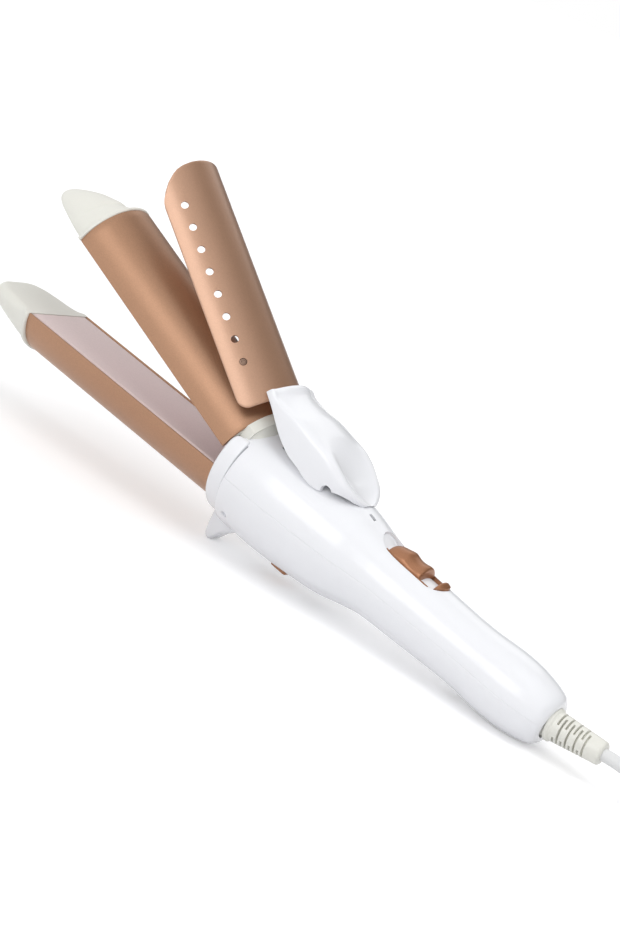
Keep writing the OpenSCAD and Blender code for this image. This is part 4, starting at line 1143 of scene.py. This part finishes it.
@dataclass
class Arms(Assembly):
    """The fixed lower jaw and the upper barrel: shells, plates and tips."""

    barrel_d: float = 32.0
    length: float = 93.3
    wall: float = 1.0
    soft: float = 0.22
    plate_t: float = 2.2
    plate_gap: float = 0.5
    rail_x: Point = (20.0, 80.0)
    rail_y: Point = (-8.1, 6.6)
    rail_w: float = 1.5
    jaw_gap: float = 0.3
    split_drop: float = 1.1
    root_x: float = -12.0
    barrel_root_x: float = 3.1
    ring_half_w: float = 13.0
    bead_x: float = 95.0
    bullet_share: float = 0.965
    lower_tip: tuple[Row, ...] = (
        # distance from the front of the collar, half width, underside, top, flat half width
        (93.3, 15.9, -15.9, -1.25, 15.4), (93.7, 16.4, -16.4, -1.25, 15.9),
        (95.0, 16.4, -16.4, -1.25, 15.9), (95.6, 15.7, -15.8, -1.25, 15.1),
        (97.5, 14.9, -15.2, -1.25, 12.7), (101.5, 14.2, -14.2, -1.25, 11.4),
        (105.9, 13.7, -12.9, -1.25, 10.7), (109.9, 12.9, -11.7, -1.25, 9.7),
        (113.0, 11.8, -10.8, -1.25, 8.3), (115.5, 10.2, -10.0, -1.35, 6.2),
        (117.3, 8.1, -9.3, -1.9, 3.8), (118.7, 5.9, -8.5, -2.9, 2.2),
        (119.6, 3.6, -7.6, -4.3, 1.0), (120.0, 1.4, -6.8, -5.6, 0.4))
    upper_tip: tuple[Row, ...] = (
        # distance from the front of the collar, half width, height over the jaw's face
        (93.3, 16.1, 16.6), (93.6, 16.6, 17.1), (94.5, 16.6, 17.05), (94.75, 16.0, 16.3),
        (95.1, 15.4, 15.4), (97.5, 15.1, 13.95), (99.4, 14.9, 12.6), (100.9, 14.6, 11.7),
        (101.4, 14.55, 11.65), (103.4, 14.1, 11.2), (106.5, 13.4, 9.7), (109.6, 12.6, 8.1),
        (112.0, 11.5, 6.5), (114.3, 9.8, 4.8), (116.2, 7.4, 3.2), (117.5, 4.7, 1.9),
        (118.0, 2.4, 1.0))

    def _face(self, side: int) -> float:
        """Height of a jaw's face; side is 1 for the barrel and -1 for the lower arm."""
        return -self.split_drop + side * self.jaw_gap / 2

    def _tube(self, root: float, side: int) -> Piece:
        """Half tube with softened edges.

        Args:
            root: Where it begins.
            side: 1 above the jaws' gap and -1 below it.

        Returns:
            The half tube.
        """
        r, end, face = self.barrel_d / 2, self.length, self._face(side)
        loops = []
        for x, inset in ((root, 0.28), (root + 0.08, 0.1), (root + 0.3, 0.0),
                         *((x, 0.0) for x in spread(root + 3, end - 3, 24)),
                         (end - 0.3, 0.0), (end - 0.08, 0.1), (end, 0.28)):
            loop = []
            for radius, way in ((r - inset, 1), (r - self.wall + inset, -1)):
                half = math.degrees(math.acos(side * (face + side * inset) / radius))
                row = [polar(x, radius, a) for a in spread(-half, half, 72)]
                for p in row:
                    p.z *= side
                for i in (0, -1):
                    tip = row[i].copy()
                    tip.y *= 1 - way * self.soft / radius
                    row[i].z += side * self.soft
                    row.insert(0 if i == 0 else len(row), tip)
                loop += row[::way]
            loops.append(loop)
        return self.skin(loops)

    def _plate(self, root: float, side: int) -> Piece:
        """Ironing plate with rounded long edges and the two rails of its heater.

        Args:
            root: Where it begins.
            side: 1 above the jaws' gap and -1 below it.

        Returns:
            The plate.
        """
        r = self.barrel_d / 2 - self.wall - self.plate_gap
        face, end = self._face(side), self.length - 0.3
        deep = face + side * self.plate_t
        half = math.sqrt(r * r - deep * deep)
        section = [(-half, deep), (-half, face + side * 0.6), (-half + 0.08, face + side * 0.3),
                   (-half + 0.25, face + side * 0.1), (-half + 0.55, face)]
        section += [(y, face) for y in spread(-half + 1.5, half - 1.5, 9)]
        section += [(-y, z) for y, z in reversed(section[:5])]
        loops = [slice_at(x, [(y, z + (side * inset if z != deep else 0.0)) for y, z in section])
                 for x, inset in ((root, 0.3), (root + 0.3, 0.0), (end - 0.3, 0.0), (end, 0.3))]
        low, high = sorted((deep - side * 0.2, deep + side * 3.0))
        rails = [self.box((self.rail_x[0], y, low), (self.rail_x[1], y + self.rail_w, high), 0.2)
                 for y in self.rail_y]
        return self.join(self.skin(loops), *rails)

    def _lower_tip(self) -> None:
        """Makes the lower jaw's bullet: flat on top, round below, with a bead at the copper."""
        loops = []
        for x, w, low, top, flat in smooth_curve(self.lower_tip, 6):
            x = min(x, self.bead_x) + max(0.0, x - self.bead_x) * self.bullet_share
            shoulder = min(max(0.3, (w - flat) * 0.9), (top - low) * 0.45)
            mid = top - shoulder
            below = [(w * math.cos(a), mid + (low - mid) * math.sin(a))
                     for a in spread(0, math.pi, 61)]
            bend = [(flat + (w - flat) * math.cos(a), mid + shoulder * math.sin(a))
                    for a in spread(0.15, math.pi / 2, 7)]
            face = [(y, top) for y in spread(-flat * 0.9, flat * 0.9, 13)]
            loops.append(slice_at(x, below + [(-y, z) for y, z in bend] + face + bend[::-1]))
        self.deliver("bullet_tip", self.skin(loops), self.places.tool, CREAM, "lower_tip_cap",
                     50.0)

    def _upper_tip(self) -> None:
        """Makes the barrel's spoon: a cap that dips behind its bead and then runs out flat."""
        base = self._face(1)
        loops = []
        for x, w, h in smooth_curve(self.upper_tip, 6):
            above = [(w * math.cos(a) * (1 - 0.05 * math.sin(2 * a) ** 2),
                      base + 0.5 + (h - 0.5) * math.sin(a)) for a in spread(0, math.pi, 61)]
            face = [(y, base) for y in spread(-w * 0.9 + 0.4, w * 0.9 - 0.4, 11)]
            loops.append(slice_at(x, above + [(-w + 0.12, base + 0.2), (-w + 0.45, base)] + face
                                  + [(w - 0.45, base), (w - 0.12, base + 0.2)]))
        self.deliver("spoon_tip", self.skin(loops), self.places.barrel, CREAM, "upper_tip_cap",
                     50.0)

    def _base_ring(self) -> None:
        """Makes the cream ring at the root of the barrel, narrowed at its sides."""
        r, root = self.barrel_d / 2, self.barrel_root_x
        section = [(root, r - 0.9), (root, r + 0.05), (root - 0.15, r + 0.2),
                   (root - 0.5, r + 0.27), (-0.1, r + 0.27), (-0.5, r + 0.1), (-0.9, r - 0.5),
                   (-3.6, r - 3.0), (-3.6, r - 3.6)]
        loops = []
        for a in spread(-92.0, 92.0, 120):
            loop = lathe(section, a)
            for p in loop:
                p.y /= (1 + (abs(p.y) / self.ring_half_w) ** 8) ** 0.125
            loops.append(loop)
        self.deliver("base_ring", self.skin(loops), self.places.barrel, CREAM)

    def build(self) -> None:
        """Makes both arms."""
        lower, upper, root = self.places.tool, self.places.barrel, self.barrel_root_x
        self.deliver("lower_shell", self._tube(self.root_x, -1), lower, COPPER, "lower_arm_shell")
        self.deliver("lower_iron", self._plate(-1.0, -1), lower, PLATE, "lower_plate")
        self._lower_tip()
        self.deliver("barrel_shell", self._tube(root, 1), upper, COPPER, "upper_barrel_shell")
        self.deliver("upper_iron", self._plate(root + 0.2, 1), upper, PLATE, "upper_plate")
        self._base_ring()
        self._upper_tip()


# Clip and lever


@dataclass
class Clip(Assembly):
    """The perforated clip, its rivets and the thumb lever."""

    radius: float = 17.2
    sheet: float = 0.8
    wrap: float = 71.8
    base_x: float = 4.1
    corner: float = 4.0
    tongue_x: float = -2.9
    tongue_half: float = 8.0
    vent_d: float = 2.6
    vent_x: float = 75.6
    vent_count: int = 7
    vent_pitch: float = 8.08
    vent_angle: float = 50.0
    end: tuple[Point, ...] = (
        # angle from the top, where the sheet ends
        (0, 90.4), (12, 90.3), (24, 90.0), (36, 89.3), (44, 88.4), (50, 87.2), (58, 85.0),
        (65, 82.2), (69, 80.0), (70.8, 78.6), (71.8, 77.0))
    half_w: float = 13.4
    wall: float = 1.6
    lean: float = -0.6
    bead: Triple = (6.0, 1.3, 0.75)
    notch: Triple = (-30.8, 21.6, 1.9)
    ear: Triple = (3.9, 1.52, 3.0)
    ear_y: Point = (8.5, -12.4)
    stations: tuple[Row, ...] = (
        # place, change of half width, foot, shoulder, crest, share of the wall
        (-39.2, -9.8, 27.5, 28.7, 28.5, 0.4), (-37.5, -6.9, 26.8, 28.7, 28.0, 0.5),
        (-35.0, -4.0, 25.9, 28.7, 27.5, 0.7), (-32.0, -2.0, 23.4, 28.6, 27.1, 0.9),
        (-29.0, -1.0, 18.9, 28.5, 26.6, 1.0), (-25.0, -0.2, 16.9, 28.3, 26.9, 1.0),
        (-20.0, 0.1, 15.7, 27.5, 27.3, 1.0), (-14.4, 0.1, 14.1, 25.4, 27.2, 1.0),
        (-8.0, -0.2, 13.6, 23.0, 25.3, 1.0), (-3.0, -0.5, 13.9, 20.2, 22.5, 1.0),
        (2.0, -0.9, 14.2, 17.7, 20.2, 1.0), (7.0, -1.3, 14.2, 16.3, 19.25, 1.0))

    def _base(self, angle: float) -> float:
        """Where the sheet begins.

        Args:
            angle: Degrees from the top.

        Returns:
            The place along x: on the tongue, along the straight rear or round its corner.
        """
        along, edge = (math.radians(a) * self.radius for a in (abs(angle), self.wrap))
        if along < self.tongue_half:
            return self.tongue_x
        near = max(0.0, along - (edge - self.corner))
        return self.base_x + self.corner - math.sqrt(max(0.0, self.corner ** 2 - near ** 2))

    def _sheet(self) -> None:
        """Makes the curved sheet with its rows of vent holes."""
        tongue = math.degrees(self.tongue_half / self.radius)
        half = [*spread(0, tongue - 0.05, 20), *spread(tongue + 0.02, self.wrap - 3.0, 46),
                *spread(self.wrap - 2.7, self.wrap, 12)]
        loops = []
        for a in [-a for a in reversed(half[1:])] + half:
            start, stop = self._base(a), at(self.end, abs(a))
            rim = max(0.0, 1 - (self.wrap - abs(a)) / 1.2) * 0.22
            out, inn = self.radius - rim, self.radius - self.sheet + rim
            outer = [(start, out - 0.25), (start + 0.1, out - 0.08), (start + 0.3, out)]
            outer += [(x, out) for x in spread(start + 1.0, stop - 1.0, 40)]
            outer += [(stop - 0.3, out), (stop - 0.1, out - 0.08), (stop, out - 0.25)]
            inner = [(x, inn + (0.2 if i in (0, 41) else 0.0))
                     for i, x in enumerate(spread(stop, start, 42))]
            loops.append(lathe(outer + inner, a))
        sheet = self.skin(loops)
        for side in (-1, 1):
            drill = self.prism(arc(0.0, 0.0, self.vent_d / 2, range(0, 360, 12)),
                               self.radius - 3.0, self.radius + 3.0)
            drill.data.transform(self._aside(side))
            row = self.repeat(drill, self.vent_count + 1, (self.vent_x, 0.0, 0.0),
                              (-self.vent_pitch, 0.0, 0.0))
            self.combine(sheet, Merge.CUT, row)
        self.deliver("clip_sheet", sheet, self.places.clip, CLIP_COPPER, "clip_plate")

    def _aside(self, side: int) -> Matrix:
        """The turn from the top to a row of holes; side is -1 or 1."""
        return Matrix.Rotation(math.radians(-side * self.vent_angle), 4, "X")

    def _rivets(self) -> None:
        """Makes the two rivets at the rear ends of the hole rows."""
        x = self.vent_x - self.vent_pitch * self.vent_count
        r, top = self.vent_d / 2 - 0.02, self.sheet
        heads = []
        for side in (-1, 1):
            head = self.turned([
                (0.0, 0.01), (0.0, r), (top - 0.25, r), (top, r - 0.2), (top + 0.05, r - 0.55),
                (top - 0.15, r - 0.7), (top - 0.15, 0.01)], 32)
            head.data.transform(self._aside(side)
                                @ Matrix.Translation((x, 0, self.radius - self.sheet))
                                @ Matrix.Rotation(-math.pi / 2, 4, "Y"))
            heads.append(head)
        self.deliver("rivet_pair", self.join(*heads), self.places.clip, RIVET, "clip_rivets")

    def _arch(self, station: Row, inset: float) -> list[Point]:
        """The lever's section, from the near foot over the crest to the far foot.

        Args:
            station: Values of the section, as in the stations.
            inset: How far the arch lies inside the outer face.

        Returns:
            Pairs of y and z.
        """
        _, dw, foot, zs, zc, _ = station
        w = self.half_w + dw
        wi, ws = w - inset, w - 2.4 - inset * 0.6
        zs, zc = zs - inset, zc - inset
        half = [(wi, foot), (wi, foot + 0.5 * (zs - foot)), (wi - 0.5, foot + 0.86 * (zs - foot)),
                (ws, zs), (ws * 0.7, zs * 0.49 + zc * 0.51), (ws * 0.36, zs * 0.13 + zc * 0.87),
                (0.0, zc)]
        return smooth_curve(half + [(-y, z) for y, z in reversed(half[:-1])], 5)

    def _lever(self) -> None:
        """Makes the thumb lever: an arch with a bead in front, skirts and a dished tail."""
        loops = []
        middle, reach, height = self.bead
        for x, dw, foot, zs, zc, share in smooth_curve(self.stations, 8):
            swell = height * math.exp(-((x - middle) / reach) ** 2)
            station = (x, dw, foot, zs + swell, zc + swell, share)
            outer, inner = (self._arch(station, inset) for inset in (0.0, self.wall * share))
            loops.append(slice_at(x, [(y + self.lean, z) for y, z in outer + inner[::-1]]))
        lever = self.skin(loops)
        across = Matrix.Rotation(math.pi / 2, 4, "Z")
        x, z, r = self.notch
        notch = self.tube(40.0, 0.01, r, 32)
        notch.data.transform(Matrix.Translation((x, -20.0, z)) @ across)
        self.combine(lever, Merge.CUT, notch)
        for y in self.ear_y:
            ear = self.tube(*self.ear, 36)
            ear.data.transform(Matrix.Translation((Places.CLIP_PIN.x, y, Places.CLIP_PIN.z))
                               @ across)
            self.join(lever, ear)
        self.deliver("thumb_rest", lever, self.places.clip, WHITE_GLOSS, "thumb_lever", 50.0)

    def build(self) -> None:
        """Makes the clip, the rivets and the lever."""
        self._sheet()
        self._rivets()
        self._lever()


# Switch and lock


@dataclass
class Controls(Assembly):
    """The power slider in its oval recess and the lock slider under the head."""

    handle: Handle
    ridge: tuple[Triple, ...] = (
        # distance behind the front of the strip, height over the grip, half width
        (0.0, -1.2, 4.2), (0.2, -0.2, 4.6), (0.8, 0.6, 4.8), (2.4, 1.3, 4.9), (4.4, 1.75, 4.9),
        (5.8, 2.1, 4.9), (7.0, 2.2, 4.9), (8.4, 1.75, 4.9), (10.0, 1.45, 4.9),
        (11.6, 1.5, 4.9), (13.0, 1.75, 4.9), (14.0, 1.75, 4.9), (14.5, 1.4, 4.9),
        (14.7, 0.3, 4.8), (14.8, -1.2, 4.7))
    hump: tuple[Triple, ...] = (
        (0.0, -1.6, 5.5), (0.1, -0.4, 5.5), (0.4, 0.6, 5.5), (0.9, 1.05, 5.5), (1.5, 0.95, 5.5),
        (2.2, 0.6, 5.5), (2.7, 0.2, 5.5), (3.0, -0.6, 5.5))
    ridge_x: float = -61.9
    hump_x: float = -81.85
    drop: float = 2.6
    deep: float = 2.2
    rail_x: Point = (-62.0, -80.5)
    rail_y: Point = (4.98, 5.6)
    lock_blocks: tuple[Row, ...] = (
        # reach behind and ahead of the lock's middle, half width, low, high, edge
        (2, 4.6, 3, -1.2, 2.2, 0.5), (1, 3.6, 2, -1.6, -1.0, 0.4),
        (5, 5.2, 3.8, 3.1, 4.6, 0.2), (1.5, 1.5, 1.5, 2, 3.2, 0.1))

    def _strip(self, front: float, stations: Sequence[Triple]) -> Piece:
        """A crowned strip along the grip that stays inside the recess.

        Args:
            front: Where it begins.
            stations: Its heights and half widths, as in the ridge.

        Returns:
            The strip.
        """
        handle = self.handle
        top = handle.radius(-handle.switch_x - 14)
        low = top - self.deep
        rear = -handle.switch_x - handle.switch_len + handle.switch_w / 2
        loops = []
        for d, h, w in smooth_curve(stations, 3):
            x = front - d
            past = max(0.0, rear - x)
            room = math.sqrt(max(0.0, (handle.switch_w / 2 - 0.3) ** 2 - past ** 2))
            w = max(0.3, min(w, room))
            crown = [(w * t, max(low + 0.05, top + h - self.drop * abs(w * t / 5) ** 2.3))
                     for t in spread(1, -1, 25)]
            loops.append(slice_at(x, crown + [(-w, low), (w, low)]))
        return self.skin(loops)

    def _floor(self) -> None:
        """Makes the dished floor of the recess, which follows the grip a little below its skin."""
        front, r = -self.handle.switch_x, self.handle.switch_w / 2
        back = front - self.handle.switch_len
        loops = []
        for x in spread(front - 0.15, back + 0.15, 60):
            inside = min(front - x, x - back, r)
            w = math.sqrt(max(0.0, r * r - (r - inside) ** 2)) - 0.12
            hull = self.handle.radius(x)
            sunk = 0.75 + 0.85 * min(1.0, (front - x) / 4.0)
            top = [(w * t, math.sqrt(hull * hull - (w * t) ** 2) - sunk)
                   for t in spread(1, -1, 21)]
            loops.append(slice_at(x, top + [(y, z - 1.2) for y, z in reversed(top)]))
        self.deliver("recess_floor", self.skin(loops), self.places.handle, WHITE_GLOSS,
                     "switch_bezel")

    def _stop(self) -> None:
        """Makes the hump behind the slider with the two rails beside it."""
        stop = self._strip(self.hump_x, self.hump)
        for side in (-1, 1):
            loops = []
            for x in spread(*self.rail_x, 24):
                hull = self.handle.radius(x)
                near, far = ((side * y, math.sqrt(hull * hull - y * y) - 0.25)
                             for y in self.rail_y)
                loops.append(slice_at(x, (near, far, (far[0], far[1] - 1.4),
                                          (near[0], near[1] - 1.4))))
            self.join(stop, self.skin(loops))
        self.deliver("slide_stop", stop, self.places.handle, COPPER_PLASTIC, "switch_bezel")

    def _lock(self) -> None:
        """Makes the lock's knob with a rib, on a stem and a keeper inside the shell."""
        x = self.handle.lock_x
        z = -self.handle.radius(x)
        lock = self.join(*(
            self.box((x - back, -w, z + low), (x + ahead, w, z + high), edge)
            for back, ahead, w, low, high, edge in self.lock_blocks))
        self.deliver("lock_knob", lock, self.places.lock, COPPER_PLASTIC, "lock_slider")

    def build(self) -> None:
        """Makes the switch's pieces and the lock."""
        self._floor()
        self._stop()
        self.deliver("power_slide", self._strip(self.ridge_x, self.ridge), self.places.slider,
                     COPPER_PLASTIC, "switch_slider", 45.0)
        self._lock()


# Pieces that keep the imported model's own shape


class InnerPieces:
    """Dresses the nodes that stay as they were packed."""

    DRESSES = (
        (CREAM, ("lower_arm_block", "barrel_carrier", "thermal_fuse", "cord_clamp")),
        (CERAMIC, ("lower_heater", "upper_heater")),
        (STEEL, ("lower_heater_clamp", "upper_heater_clamp", "barrel_pin", "barrel_spring",
                 "clip_pin", "clip_spring", "shell_screws")),
        (DARK, ("switch_body",)), (BOARD, ("circuit_board",)), (LEAD, ("inner_leads",)),
        (JACKET, ("inner_cord",)))

    def build(self, nodes: dict[str, Piece]) -> None:
        """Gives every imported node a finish; those that are replaced stay hidden.

        Args:
            nodes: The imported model's nodes.
        """
        finishes = {name: finish for finish, names in self.DRESSES for name in names}
        for name, obj in nodes.items():
            finish = finishes.get(name, WHITE_GLOSS)
            if not obj.data.materials:
                obj.data.materials.append(None)
            for slot in obj.material_slots:
                slot.material = finish.material()
            log.info("%s: dressed as %s", name, finish.name)


def main() -> None:
    """Builds the studio and the tool's pieces in order."""
    places = Places(frame["joints"])
    Studio().build()
    MainsCord(places).build()
    handle = Handle(places)
    handle.build()
    Arms(places).build()
    Clip(places).build()
    Controls(places, handle).build()
    InnerPieces().build(frame["nodes"])


if __name__ == "__main__":
    main()
